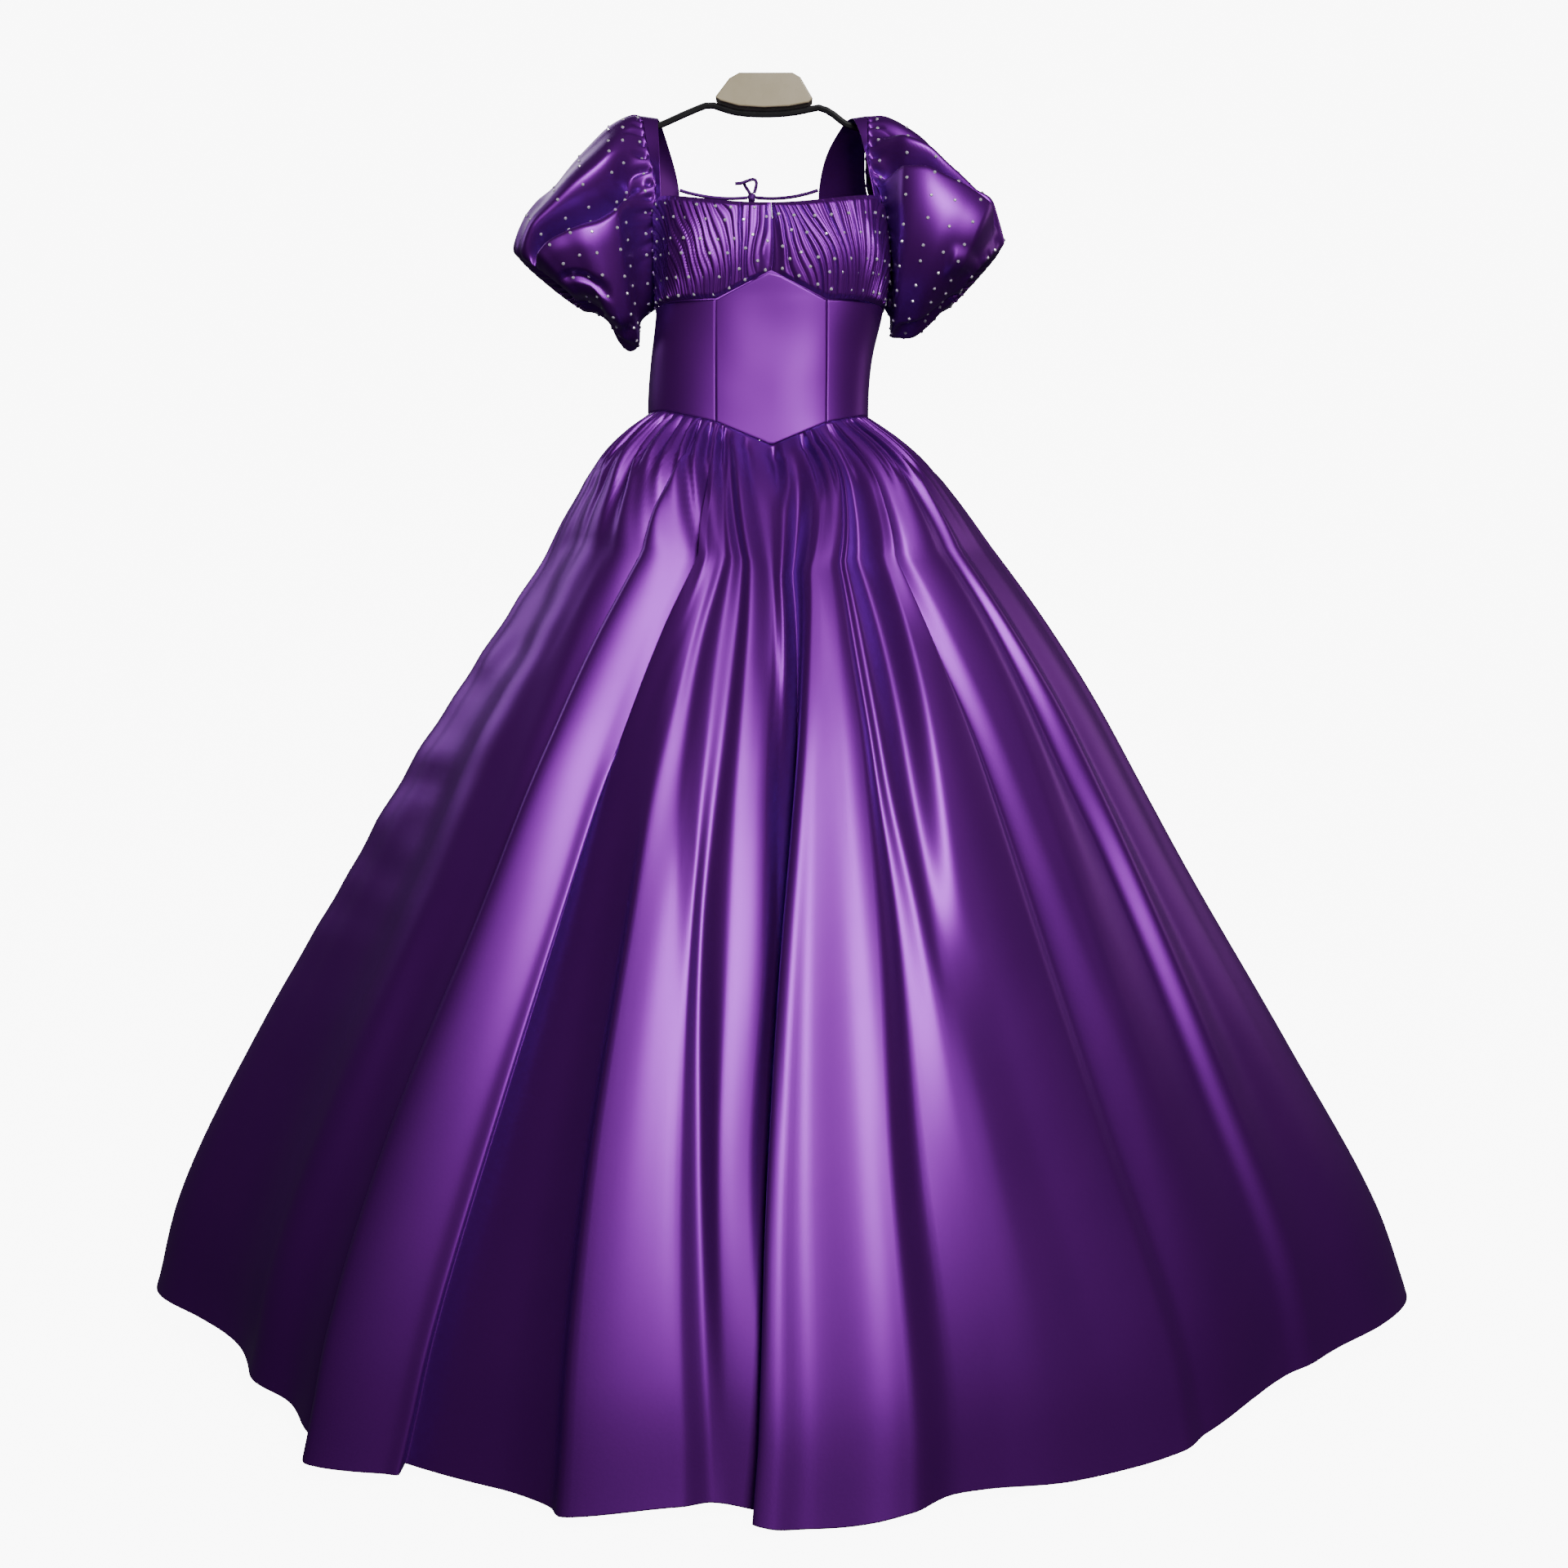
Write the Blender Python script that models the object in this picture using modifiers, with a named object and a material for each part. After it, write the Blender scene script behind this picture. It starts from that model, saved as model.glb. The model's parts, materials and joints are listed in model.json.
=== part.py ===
"""A ball gown of satin that hangs, filled out, on a hanger.

Metres, +Z up. The origin is the top of the hanger's cap, the gown's front faces -Y, and +X is the
wearer's left. Azimuth is measured round the body in degrees: 0 at the front, 90 at +X, 180 at the back.
Every piece of cloth is a grid of points on its outer side, given a wall that goes inwards.
"""

import math
from collections import namedtuple

import bmesh
import bpy
import numpy as np
from mathutils import Vector

# Cloth and seams
WALL = 0.002
SEAM = 0.0004
SATIN = (0.19, 0.045, 0.40, 1.0)
SATIN_ROUGHNESS = 0.4
FRONT, SIDE, BACK = 0.0, 90.0, 180.0
SIDE_SEAM = 0.2  # degrees that the bodice's panels stand apart at the sides

# The way the hanging gown leans to one side, by height
Lean = namedtuple("Lean", "z x")
LEAN = (
    Lean(-0.147, 0.0015),
    Lean(-0.212, 0.006),
    Lean(-0.260, 0.003),
    Lean(-0.320, -0.007),
    Lean(-0.390, -0.010),
    Lean(-0.470, -0.0015),
    Lean(-0.600, 0.008),
    Lean(-0.800, 0.003),
    Lean(-1.100, 0.003),
    Lean(-1.330, 0.013),
)

# Bodice: half width, and how far the front and the back stand from the middle, by height
Girth = namedtuple("Girth", "z width front back")
BODICE = (
    Girth(-0.420, 0.1235, 0.097, 0.090),
    Girth(-0.380, 0.1235, 0.097, 0.090),
    Girth(-0.307, 0.1240, 0.101, 0.093),
    Girth(-0.260, 0.1265, 0.107, 0.096),
    Girth(-0.212, 0.1290, 0.114, 0.098),
    Girth(-0.147, 0.1260, 0.112, 0.098),
)
BODICE_SQUARENESS = 2.5
FRONT_LINE = 0.005
BACK_LINE = -0.022
PRINCESS = 0.060
CUP_RISE = 0.011
CUP_AZIMUTH = 31.0
CUP_SPREAD = 27.0

# Heights of the seams and edges of the bodice
NECK_CORNER = Vector((0.1165, 0.0, -0.147))
NECK_DIP = 0.015
UNDERBUST = -0.262
UNDERBUST_PEAK = -0.233
PEAK_REACH = 0.058
WAIST_SIDE = -0.377
WAIST_PRINCESS = -0.391
WAIST_TIP = -0.416
WAIST_REACH = 0.118
BACK_NECK = -0.137
SEAM_PASSES = 6

# Ruching of the two cups of the bust. A cup's top edge is shared out from the middle of the front: up
# to CUP_NECK it is the neckline, and from CUP_FOOT on it runs round the armhole
RUCHES = 15
RUCHE_STEPS = 3
CUP_ROWS = 6
RUCHE_DEPTH = 0.0013
RUCHE_SLANT = 4.2
RUCHE_EDGE = 0.06
RUCHE_FADE = 0.66
CUP_NECK, CUP_FLAT, CUP_FOOT = 0.66, 0.52, 0.72
CUP_TURNS = (90.5, 176.0)
CUP_CURVE = 2.5

# Back panels. Their top edge is shared out from the side seam: up to BACK_HOLE it runs round the
# armhole, and from BACK_FOOT on it is the back neckline
BACK_COLUMNS, BACK_ROWS = 12, 7
BACK_HOLE, BACK_FOOT = 0.42, 0.52
BACK_TURNS = (184.0, 269.5)
BACK_TURN_IN = 1.5

# Armhole: an upright oval that the sleeve is gathered to
ARMHOLE_Z = -0.150
ARMHOLE_HIGH = 0.105
ARMHOLE_DEEP = 0.046
ARMHOLE_BLEND = 0.03
Shoulder = namedtuple("Shoulder", "z right left")
SHOULDER = (
    Shoulder(-0.150, 0.1185, 0.1215),
    Shoulder(-0.113, 0.1245, 0.1120),
    Shoulder(-0.086, 0.1310, 0.1105),
    Shoulder(-0.045, 0.1390, 0.1110),
)

# Strap: its neck edge, by the turn round the armhole from the front (90) over the top (0) to the back
Strap = namedtuple("Strap", "turn right left y z")
STRAP = (
    Strap(-90.0, 0.1030, 0.0590, 0.0800, -0.1366),
    Strap(-62.0, 0.1040, 0.0600, 0.0720, -0.1050),
    Strap(-35.0, 0.1110, 0.0680, 0.0480, -0.0740),
    Strap(-12.0, 0.1190, 0.0850, 0.0150, -0.0510),
    Strap(0.0, 0.1215, 0.0920, -0.0010, -0.0478),
    Strap(25.0, 0.1205, 0.0980, -0.0220, -0.0570),
    Strap(60.0, 0.1180, 0.1090, -0.0440, -0.0960),
    Strap(90.0, 0.1160, 0.1180, -0.0570, -0.1466),
)
STRAP_END = 89.6
STRAP_STEPS = 18
STRAP_ACROSS = 3

# Skirt: reach to each side and depth before and behind, by the share of the drop from waist to hem
Reach = namedtuple("Reach", "drop side front back")
SKIRT = (
    Reach(0.000, 0.1235, 0.0970, 0.0900),
    Reach(0.020, 0.1500, 0.1150, 0.1120),
    Reach(0.047, 0.1790, 0.1370, 0.1400),
    Reach(0.095, 0.2130, 0.1680, 0.1780),
    Reach(0.144, 0.2450, 0.1980, 0.2120),
    Reach(0.239, 0.3070, 0.2500, 0.2680),
    Reach(0.336, 0.3680, 0.3020, 0.3220),
    Reach(0.526, 0.4730, 0.3940, 0.4180),
    Reach(0.714, 0.5790, 0.4780, 0.5020),
    Reach(0.897, 0.6720, 0.5500, 0.5780),
    Reach(1.000, 0.7030, 0.5800, 0.6100),
)
SKIRT_ROUND = 0.15
TIP_ROOM = 0.0012
TIP_AZIMUTH = 5.0
TIP_SPREAD = 5.0

# Height of the hem, by azimuth: it lies lowest where the cloth reaches out least
Edge = namedtuple("Edge", "azimuth z")
HEM = (
    Edge(-180, -1.375),
    Edge(-120, -1.358),
    Edge(-90, -1.345),
    Edge(-60, -1.360),
    Edge(-46, -1.372),
    Edge(-33, -1.385),
    Edge(-16, -1.390),
    Edge(-6, -1.384),
    Edge(2, -1.398),
    Edge(12, -1.384),
    Edge(24, -1.392),
    Edge(34, -1.388),
    Edge(45, -1.368),
    Edge(60, -1.350),
    Edge(90, -1.345),
    Edge(120, -1.358),
    Edge(180, -1.375),
)

# The skirt turns a little towards +X on its way up to the waist, most at the front and back
Turn = namedtuple("Turn", "drop angle")
TURN = (
    Turn(0.00, 11.0),
    Turn(0.12, 9.0),
    Turn(0.27, 4.5),
    Turn(0.41, 2.0),
    Turn(0.60, 0.5),
    Turn(1.00, 0.0),
)

# Gathers at the waist seam: their height by drop
GATHERS = 40
GATHER_UNEVEN = 0.35
Gather =namedtuple("Gather", "drop height")
GATHER = (
    Gather(0.00, 0.0012),
    Gather(0.02, 0.0050),
    Gather(0.06, 0.0075),
    Gather(0.14, 0.0070),
    Gather(0.26, 0.0030),
    Gather(0.40, 0.0),
    Gather(1.00, 0.0),
)

# Folds of the skirt: azimuth of the crest near the waist, half way and at the hem, its width to each
# side at the hem, and its height at the same three places (a hollow has a height below nought)
Fold = namedtuple("Fold", "top middle hem right left high_top high_middle high_hem")
FRONT_FOLDS = (
    Fold(-78, -78, -78, 8, 8, 0.003, 0.005, 0.008),
    Fold(-62, -62, -61, 22, 20, -0.002, -0.020, -0.060),
    Fold(-60, -58, -58, 8, 7, 0.004, 0.010, 0.014),
    Fold(-46, -37, -44, 6, 7, -0.008, -0.010, -0.038),
    Fold(-30, -30, -32, 9, 4, 0.014, 0.028, 0.015),
    Fold(-22, -22, -22, 4, 7, -0.006, -0.012, -0.012),
    Fold(-16, -14, -13, 5, 10, 0.006, 0.014, 0.018),
    Fold(-5, -6, -4, 4, 3, -0.006, -0.008, -0.016),
    Fold(13, 10, 8, 5, 7, 0.010, 0.018, 0.018),
    Fold(19, 15, 13, 3, 2, -0.006, -0.005, -0.014),
    Fold(30, 28, 29, 13, 11, 0.000, 0.006, 0.034),
    Fold(26, 23, 18, 5, 6, 0.010, 0.016, 0.012),
    Fold(34, 30, 24, 4, 6, -0.006, -0.014, -0.016),
    Fold(42, 34, 29, 4, 5, 0.002, 0.016, 0.014),
    Fold(46, 42, 34, 4, 5, 0.004, 0.006, 0.014),
    Fold(60, 58, 54, 18, 17, -0.002, -0.012, -0.026),
    Fold(61, 56, 49, 8, 6, 0.018, 0.022, 0.014),
    Fold(72, 68, 62, 6, 7, -0.004, -0.008, -0.006),
    Fold(80, 78, 76, 9, 8, 0.003, 0.005, 0.008),
)
BACK_FOLDS = (
    Fold(98, 100, 101, 8, 8, -0.004, -0.010, -0.016),
    Fold(112, 114, 114, 8, 7, 0.012, 0.024, 0.034),
    Fold(127, 126, 127, 6, 6, -0.006, -0.014, -0.020),
    Fold(139, 138, 137, 7, 9, 0.010, 0.022, 0.032),
    Fold(153, 151, 151, 6, 5, -0.006, -0.012, -0.022),
    Fold(164, 162, 163, 6, 8, 0.010, 0.020, 0.030),
    Fold(180, 179, 178, 7, 6, -0.008, -0.014, -0.024),
    Fold(193, 193, 192, 8, 6, 0.012, 0.024, 0.034),
    Fold(206, 207, 206, 6, 6, -0.006, -0.012, -0.020),
    Fold(220, 219, 219, 9, 8, 0.010, 0.024, 0.034),
    Fold(235, 234, 235, 7, 7, -0.006, -0.014, -0.022),
    Fold(249, 248, 249, 8, 8, 0.010, 0.022, 0.030),
    Fold(263, 262, 262, 8, 8, -0.004, -0.010, -0.016),
)
FOLDS = FRONT_FOLDS + BACK_FOLDS
FOLD_TOP, FOLD_MIDDLE = 0.12, 0.50
FOLD_START = 0.10
FOLD_WIDTH_AT_WAIST = 0.45

# Laps, where one part of the skirt slides over the next: azimuth at three heights, the step up from
# the low side to the high side (to the left of it if below nought), and how far the edge slides over
Lap = namedtuple("Lap", "top middle hem step_top step_middle step_hem slide_top slide_middle slide_hem")
LAPS = (
    Lap(-25, -26, -28, -0.010, -0.024, -0.032, 1.6, 2.2, 2.4),
    Lap(-15, -18, -19, -0.006, -0.006, 0.0, 0.6, 0.4, 0.0),
    Lap(5, 3, 2.5, 0.008, 0.012, 0.030, 0.8, 1.2, 6.4),
    Lap(31, 37, 38, -0.008, -0.012, 0.0, 0.8, 1.0, 0.0),
)
LAP_SPREAD = 2.3
LAP_REACH = 9.0
LAP_STEEPNESS = 1.4

# Places on the skirt's grid: drops from the waist to the hem, and degrees from column to column
SKIRT_DROPS = (0.0, 0.022, 0.055, 0.10, 0.16, 0.24, 0.34, 0.45, 0.57, 0.69, 0.80, 0.91, 1.0)
FRONT_STEP = 2.25
BACK_STEP = 3.0
EDGE_STEP = 0.5

# Sleeves: the outer and inner outline of each puff in the plane of the shoulders, and its depth, by
# the share of the way from armhole to cuff
Puff = namedtuple("Puff", "way outer outer_z inner inner_z deep")
PUFF_RIGHT = (
    Puff(0.10, 0.1510, -0.0440, 0.1420, -0.2660, 0.059),
    Puff(0.22, 0.1720, -0.0530, 0.1430, -0.2880, 0.074),
    Puff(0.40, 0.2110, -0.0920, 0.1500, -0.3020, 0.084),
    Puff(0.58, 0.2460, -0.1370, 0.1640, -0.2960, 0.086),
    Puff(0.74, 0.2720, -0.1760, 0.1830, -0.2790, 0.083),
    Puff(0.87, 0.2740, -0.2080, 0.1980, -0.2640, 0.070),
    Puff(1.00, 0.2440, -0.2180, 0.1960, -0.2500, 0.046),
)
PUFF_LEFT = (
    Puff(0.10, 0.1310, -0.0455, 0.1420, -0.2640, 0.059),
    Puff(0.22, 0.1560, -0.0510, 0.1390, -0.2800, 0.074),
    Puff(0.40, 0.1950, -0.0920, 0.1490, -0.2880, 0.084),
    Puff(0.58, 0.2300, -0.1360, 0.1640, -0.2820, 0.086),
    Puff(0.74, 0.2530, -0.1740, 0.1790, -0.2690, 0.083),
    Puff(0.87, 0.2560, -0.2050, 0.1930, -0.2560, 0.070),
    Puff(1.00, 0.2280, -0.2160, 0.1880, -0.2430, 0.046),
)
PUFF_AROUND = 36
PUFF_WAYS = (0.0, 0.04, 0.09, 0.16, 0.25, 0.35, 0.46, 0.57, 0.68, 0.79, 0.90, 1.0)
ARMHOLE_GAP = 0.0006
HEAD_PLEATS = 16
HEAD_PLEAT = 0.0040
HEAD_WAY, HEAD_SPREAD = 0.10, 0.09
CUFF_GATHERS = 12
CUFF_GATHER = 0.0050
CUFF_START, CUFF_FULL = 0.72, 0.92

# Drapes of a sleeve: a ridge or hollow from one place to another, by the turn round the sleeve (0 at
# the top, 90 at the front) and the way from armhole to cuff
Drape = namedtuple("Drape", "turn_from way_from turn_to way_to spread height")
BACK_DRAPES = (
    Drape(-30, 0.12, -40, 0.70, 16, 0.012),
    Drape(-70, 0.12, -66, 0.85, 15, -0.016),
    Drape(-108, 0.12, -98, 0.86, 17, 0.014),
    Drape(-145, 0.25, -130, 0.95, 12, -0.010),
)
DRAPES_RIGHT = (
    Drape(62, 0.06, 58, 0.84, 18, 0.012),
    Drape(76, 0.05, 69, 0.74, 13, -0.020),
    Drape(94, 0.04, 84, 0.74, 14, 0.016),
    Drape(146, 0.06, 92, 0.76, 15, 0.012),
    Drape(166, 0.16, 112, 0.92, 14, -0.018),
    Drape(88, 0.68, 92, 1.10, 14, -0.018),
    Drape(48, 0.64, 54, 1.12, 26, 0.014),
    Drape(160, 0.40, 150, 1.10, 16, 0.010),
)
DRAPES_LEFT = (
    Drape(72, 0.04, 30, 0.66, 15, 0.015),
    Drape(86, 0.05, 50, 0.60, 12, -0.020),
    Drape(98, 0.04, 56, 0.68, 13, 0.014),
    Drape(118, 0.08, 92, 0.72, 24, 0.014),
    Drape(74, 0.68, 84, 1.12, 20, -0.020),
    Drape(26, 0.56, 34, 1.12, 24, 0.014),
    Drape(130, 0.26, 124, 0.98, 13, -0.016),
    Drape(152, 0.30, 158, 1.10, 15, 0.012),
)

# Ties: a round cord from each side of the back neckline to a knot, with a loop and two short ends
CORD = 0.004
CORD_STEP = 0.009
BOW_STEP = 0.0055
ROUTE_STEPS = 24
TIE_TURN = -66.0
TIE_GAP = 0.0018
TIE_PLACES = 7
KNOT = Vector((-0.019, 0.098, -0.1130))
KNOT_SIZE = Vector((0.0050, 0.0045, 0.0055))
TIE_SAG = 0.004
BOW = (
    Vector((-0.0161, 0.0976, -0.1080)),
    Vector((-0.0140, 0.0965, -0.1010)),
    Vector((-0.0135, 0.0955, -0.0960)),
    Vector((-0.0165, 0.0950, -0.0925)),
    Vector((-0.0240, 0.0950, -0.0945)),
    Vector((-0.0315, 0.0950, -0.0970)),
    Vector((-0.0385, 0.0950, -0.0975)),
)
TAIL = (
    Vector((-0.0212, 0.0994, -0.1083)),
    Vector((-0.0232, 0.1008, -0.1042)),
    Vector((-0.0265, 0.1030, -0.0990)),
    Vector((-0.0290, 0.1040, -0.0935)),
)

# Hanger: a moulded cap on a bent bar, with no hook
BEIGE = (0.66, 0.60, 0.47, 1.0)
BLACK = (0.012, 0.012, 0.013, 1.0)
CAP_DEEP = 0.024
CAP_ROUND = 0.003
CAP_OUTLINE = (
    Vector((-0.031, 0.0)),
    Vector((0.028, 0.0)),
    Vector((0.037, -0.005)),
    Vector((0.051, -0.0285)),
    Vector((0.046, -0.0325)),
    Vector((0.024, -0.0365)),
    Vector((-0.004, -0.0378)),
    Vector((-0.032, -0.0360)),
    Vector((-0.052, -0.0305)),
    Vector((-0.058, -0.0265)),
    Vector((-0.042, -0.006)),
)
PLASTIC_ROUGHNESS = 0.3
BAR = 0.0076
BAR_STEP = 0.009
BAR_PATH = (
    Vector((-0.1370, 0.0, -0.0580)),
    Vector((-0.1200, 0.0, -0.0546)),
    Vector((-0.0920, 0.0, -0.0425)),
    Vector((-0.0660, 0.0, -0.0325)),
    Vector((-0.0560, 0.0, -0.0345)),
    Vector((-0.0330, 0.0, -0.0408)),
    Vector((-0.0040, 0.0, -0.0426)),
    Vector((0.0240, 0.0, -0.0413)),
    Vector((0.0480, 0.0, -0.0370)),
    Vector((0.0590, 0.0, -0.0355)),
    Vector((0.0720, 0.0, -0.0415)),
    Vector((0.0890, 0.0, -0.0540)),
    Vector((0.1060, 0.0, -0.0580)),
)


def through(x, y, at):
    """Values on a smooth curve through y at x; y may have several columns, and at is then a column."""
    width = np.diff(x)
    slope = np.diff(y, axis=0) / width.reshape(-1, *[1] * (y.ndim - 1))
    tangent = np.concatenate((slope[:1], (slope[1:] + slope[:-1]) / 2, slope[-1:]))
    at = np.clip(at, x[0], x[-1])
    span = np.clip(np.searchsorted(x, at, side="right") - 1, 0, len(x) - 2)
    t = (at - x[span]) / width[span]
    if y.ndim > 1:
        span = span[:, 0]
    step = width[span].reshape(t.shape)
    start = (2 * t**3 - 3 * t**2 + 1) * y[span] + (t**3 - 2 * t**2 + t) * step * tangent[span]
    end = (3 * t**2 - 2 * t**3) * y[span + 1] + (t**3 - t**2) * step * tangent[span + 1]
    return start + end


def smooth(rows, column, key, at):
    """The value of a table's column at a key, on a smooth curve through the table's rows."""
    ordered = sorted(rows, key=lambda row: getattr(row, key))
    x = np.array([getattr(row, key) for row in ordered], float)
    y = np.array([getattr(row, column) for row in ordered], float)
    return through(x, y, at)


def ramp(value, start, end):
    """0 up to start, 1 from end on, and a straight climb between them."""
    return np.clip((value - start) / (end - start), 0, 1)


def three_heights(top, middle, hem, drop):
    """A value given near the waist, half way down and at the hem, read at any drop."""
    upper = top + (middle - top) * ramp(drop, FOLD_TOP, FOLD_MIDDLE)
    return upper + (hem - middle) * ramp(drop, FOLD_MIDDLE, 1)


def hump(distance, before, after):
    """1 at the middle, falling smoothly to 0 at either width."""
    width = np.where(distance < 0, before, after)
    return np.where(np.abs(distance) < width, 0.5 + 0.5 * np.cos(np.pi * distance / width), 0.0)


def around(azimuth, centre):
    """Degrees from the centre, the short way round."""
    return (azimuth - centre + 180.0) % 360.0 - 180.0


def power(value, exponent):
    return np.sign(value) * np.abs(value) ** exponent


def lean(z):
    return smooth(LEAN, "x", "z", z)


def bodice_point(azimuth, z, rise=0.0):
    """The bodice's outer side at an azimuth and height, moved out by rise."""
    turn = np.radians(azimuth)
    deep = np.where(np.cos(turn) > 0, smooth(BODICE, "front", "z", z), smooth(BODICE, "back", "z", z))
    x = smooth(BODICE, "width", "z", z) * power(np.sin(turn), 2 / BODICE_SQUARENESS)
    y = -deep * power(np.cos(turn), 2 / BODICE_SQUARENESS)
    reach = np.hypot(x, y)
    return np.stack([lean(z) + x * (1 + rise / reach), y * (1 + rise / reach), z + 0 * x], axis=-1)


def azimuth_at_x(x, z, front=True):
    """The azimuth where the bodice has this x at this height, on its front or its back."""
    share = np.clip((x - lean(z)) / smooth(BODICE, "width", "z", z), -1, 1)
    turn = np.degrees(np.arcsin(power(share, BODICE_SQUARENESS / 2)))
    return turn if front else 180.0 - turn


def azimuth_at_y(y, z, side):
    """The azimuth where the bodice has this y at this height, on the side given as -1 or 1."""
    deep = np.where(y < 0, smooth(BODICE, "front", "z", z), smooth(BODICE, "back", "z", z))
    share = power(np.clip(-y / deep, -1, 1), BODICE_SQUARENESS / 2)
    return side * np.degrees(np.arccos(share))


def armhole(turn, side):
    """The armhole's edge: turn is 0 at the top, 90 at the front and 180 under the arm."""
    y = -ARMHOLE_DEEP * np.sin(np.radians(turn))
    z = ARMHOLE_Z + ARMHOLE_HIGH * np.cos(np.radians(turn))
    shoulder = side * smooth(SHOULDER, "left" if side > 0 else "right", "z", z)
    body = bodice_point(azimuth_at_y(y, z, side), z)[..., 0]
    low = 1 - ramp(z, ARMHOLE_Z, ARMHOLE_Z + ARMHOLE_BLEND)
    return np.stack([shoulder * (1 - low) + body * low, y, z], axis=-1)


def neckline(x):
    return NECK_CORNER.z - NECK_DIP * (1 - (x / NECK_CORNER.x) ** 2)


def underbust(x):
    return UNDERBUST_PEAK + (UNDERBUST - UNDERBUST_PEAK) * ramp(np.abs(x - FRONT_LINE), 0, PEAK_REACH)


def waist_front(x):
    """The waist seam across the front: a slope to the princess seams, then a point."""
    off = np.abs(x - FRONT_LINE)
    tip = WAIST_TIP + (WAIST_PRINCESS - WAIST_TIP) * ramp(off, 0, PRINCESS)
    return tip + (WAIST_SIDE - WAIST_PRINCESS) * ramp(off, PRINCESS, WAIST_REACH)


def seam_height(seam, azimuth_at, guess):
    """The height where a line up the bodice, given as azimuth by height, meets a seam given by x."""
    z = guess
    for _ in range(SEAM_PASSES):
        z = seam(bodice_point(azimuth_at(z), z)[..., 0])
    return z


def waist(azimuth):
    """Height of the waist seam at an azimuth, all round."""
    front = seam_height(waist_front, lambda z: azimuth, WAIST_SIDE + 0 * azimuth)
    return np.where(np.abs(around(azimuth, FRONT)) < SIDE, front, WAIST_SIDE)


def panel(left_edge, right_edge, low, high, columns, rows):
    """Points of a bodice panel between two edges that give the azimuth at a height, and between
    the seams low and high, which give the height at an x."""
    across = np.linspace(0, 1, columns + 1)
    up = np.linspace(0, 1, rows + 1)[:, None]

    def line(z):
        return left_edge(z) + (right_edge(z) - left_edge(z)) * across

    z_low = seam_height(low, line, WAIST_SIDE + 0 * across) + SEAM / 2
    z_high = seam_height(high, line, UNDERBUST + 0 * across) - SEAM / 2
    z = z_low + (z_high - z_low) * up
    return bodice_point(line(z), z)


def grid_mesh(points):
    """A bmesh grid laid on an array of points, rows by columns."""
    rows, columns = points.shape[:2]
    grid = bmesh.new()
    bmesh.ops.create_grid(grid, x_segments=columns - 1, y_segments=rows - 1, size=1)
    for vertex, place in zip(grid.verts, points.reshape(-1, 3), strict=True):
        vertex.co = place
    return grid


def material(name, colour, roughness, metallic=0.0):
    made = bpy.data.materials.get(name) or bpy.data.materials.new(name)
    made.use_nodes = True
    shader = made.node_tree.nodes["Principled BSDF"]
    shader.inputs["Base Color"].default_value = colour
    shader.inputs["Roughness"].default_value = roughness
    shader.inputs["Metallic"].default_value = metallic
    return made


def add_object(name, data, finish):
    made = bpy.data.objects.new(name, data)
    data.materials.append(finish)
    gown.objects.link(made)
    return made


def cloth(name, points, inside, round_tube=False):
    """A wall of satin whose outer side lies on the points, facing away from the place inside."""
    grid = grid_mesh(points)
    if round_tube:
        bmesh.ops.remove_doubles(grid, verts=grid.verts, dist=1e-6)
    grid.normal_update()
    facing = sum(face.normal.dot(face.calc_center_median() - inside) for face in grid.faces)
    if facing < 0:
        bmesh.ops.reverse_faces(grid, faces=grid.faces)
    mesh = bpy.data.meshes.new(name)
    grid.to_mesh(mesh)
    grid.free()
    mesh.shade_smooth()
    made = add_object(name, mesh, material("satin", SATIN, SATIN_ROUGHNESS))
    wall = made.modifiers.new("wall", "SOLIDIFY")
    wall.thickness = WALL
    wall.offset = -1
    return made


def make_cup(name, side):
    """One ruched cup of the bust, from the middle of the front to the armhole."""
    columns = RUCHES * RUCHE_STEPS
    share = np.linspace(0, 1, columns + 1)
    # The top edge runs along the neckline, over the strap's foot, then down the armhole
    middle = FRONT_LINE + side * SEAM / 2
    top_x = np.interp(share, (0, CUP_NECK), (middle, side * NECK_CORNER.x))
    hole = armhole(np.interp(share, (CUP_FOOT, 1), CUP_TURNS), side)
    on_hole = ramp(share, CUP_NECK, CUP_FOOT)
    neck_azimuth = azimuth_at_x(top_x, neckline(top_x))
    hole_azimuth = azimuth_at_y(hole[:, 1], hole[:, 2], side)
    azimuth_top = neck_azimuth * (1 - on_hole) + hole_azimuth * on_hole
    z_top = neckline(top_x) * (1 - on_hole) + hole[:, 2] * on_hole
    # The bottom edge runs along the seam under the bust
    low_azimuth = azimuth_top[0] + (azimuth_top[-1] - azimuth_top[0]) * share
    low_azimuth[0] = azimuth_at_x(middle, UNDERBUST_PEAK)
    z_low = seam_height(underbust, lambda z: low_azimuth, UNDERBUST + 0 * share) + SEAM / 2
    up = np.linspace(0, 1, CUP_ROWS + 1)[:, None]
    slant = side * RUCHE_SLANT * np.sin(np.pi * share) * np.sin(np.pi * up / 2) * (1 - up)
    azimuth = low_azimuth + (azimuth_top - low_azimuth) * up + slant
    z = z_low + (z_top - z_low) * up
    # The cup swells in its middle, and the ruches fade out at its edges
    swell = CUP_RISE * np.exp(-(((np.abs(azimuth) - CUP_AZIMUTH) / CUP_SPREAD) ** 2))
    swell = swell * np.cos(CUP_CURVE * (up - 0.5)) * (1 - ramp(share, CUP_FLAT, CUP_FOOT))
    edges = np.sqrt(np.sin(np.pi * np.clip(up, RUCHE_EDGE, 1 - RUCHE_EDGE)))
    ends = ramp(share * columns, 1, 4) * (1 - ramp(share, RUCHE_FADE, 1)) ** 2
    ruche = RUCHE_DEPTH * (1 + np.cos(2 * np.pi * RUCHES * share)) * edges * ends
    cloth(name, bodice_point(azimuth, z, swell + ruche), Vector((0, 0, -0.22)))


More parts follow.
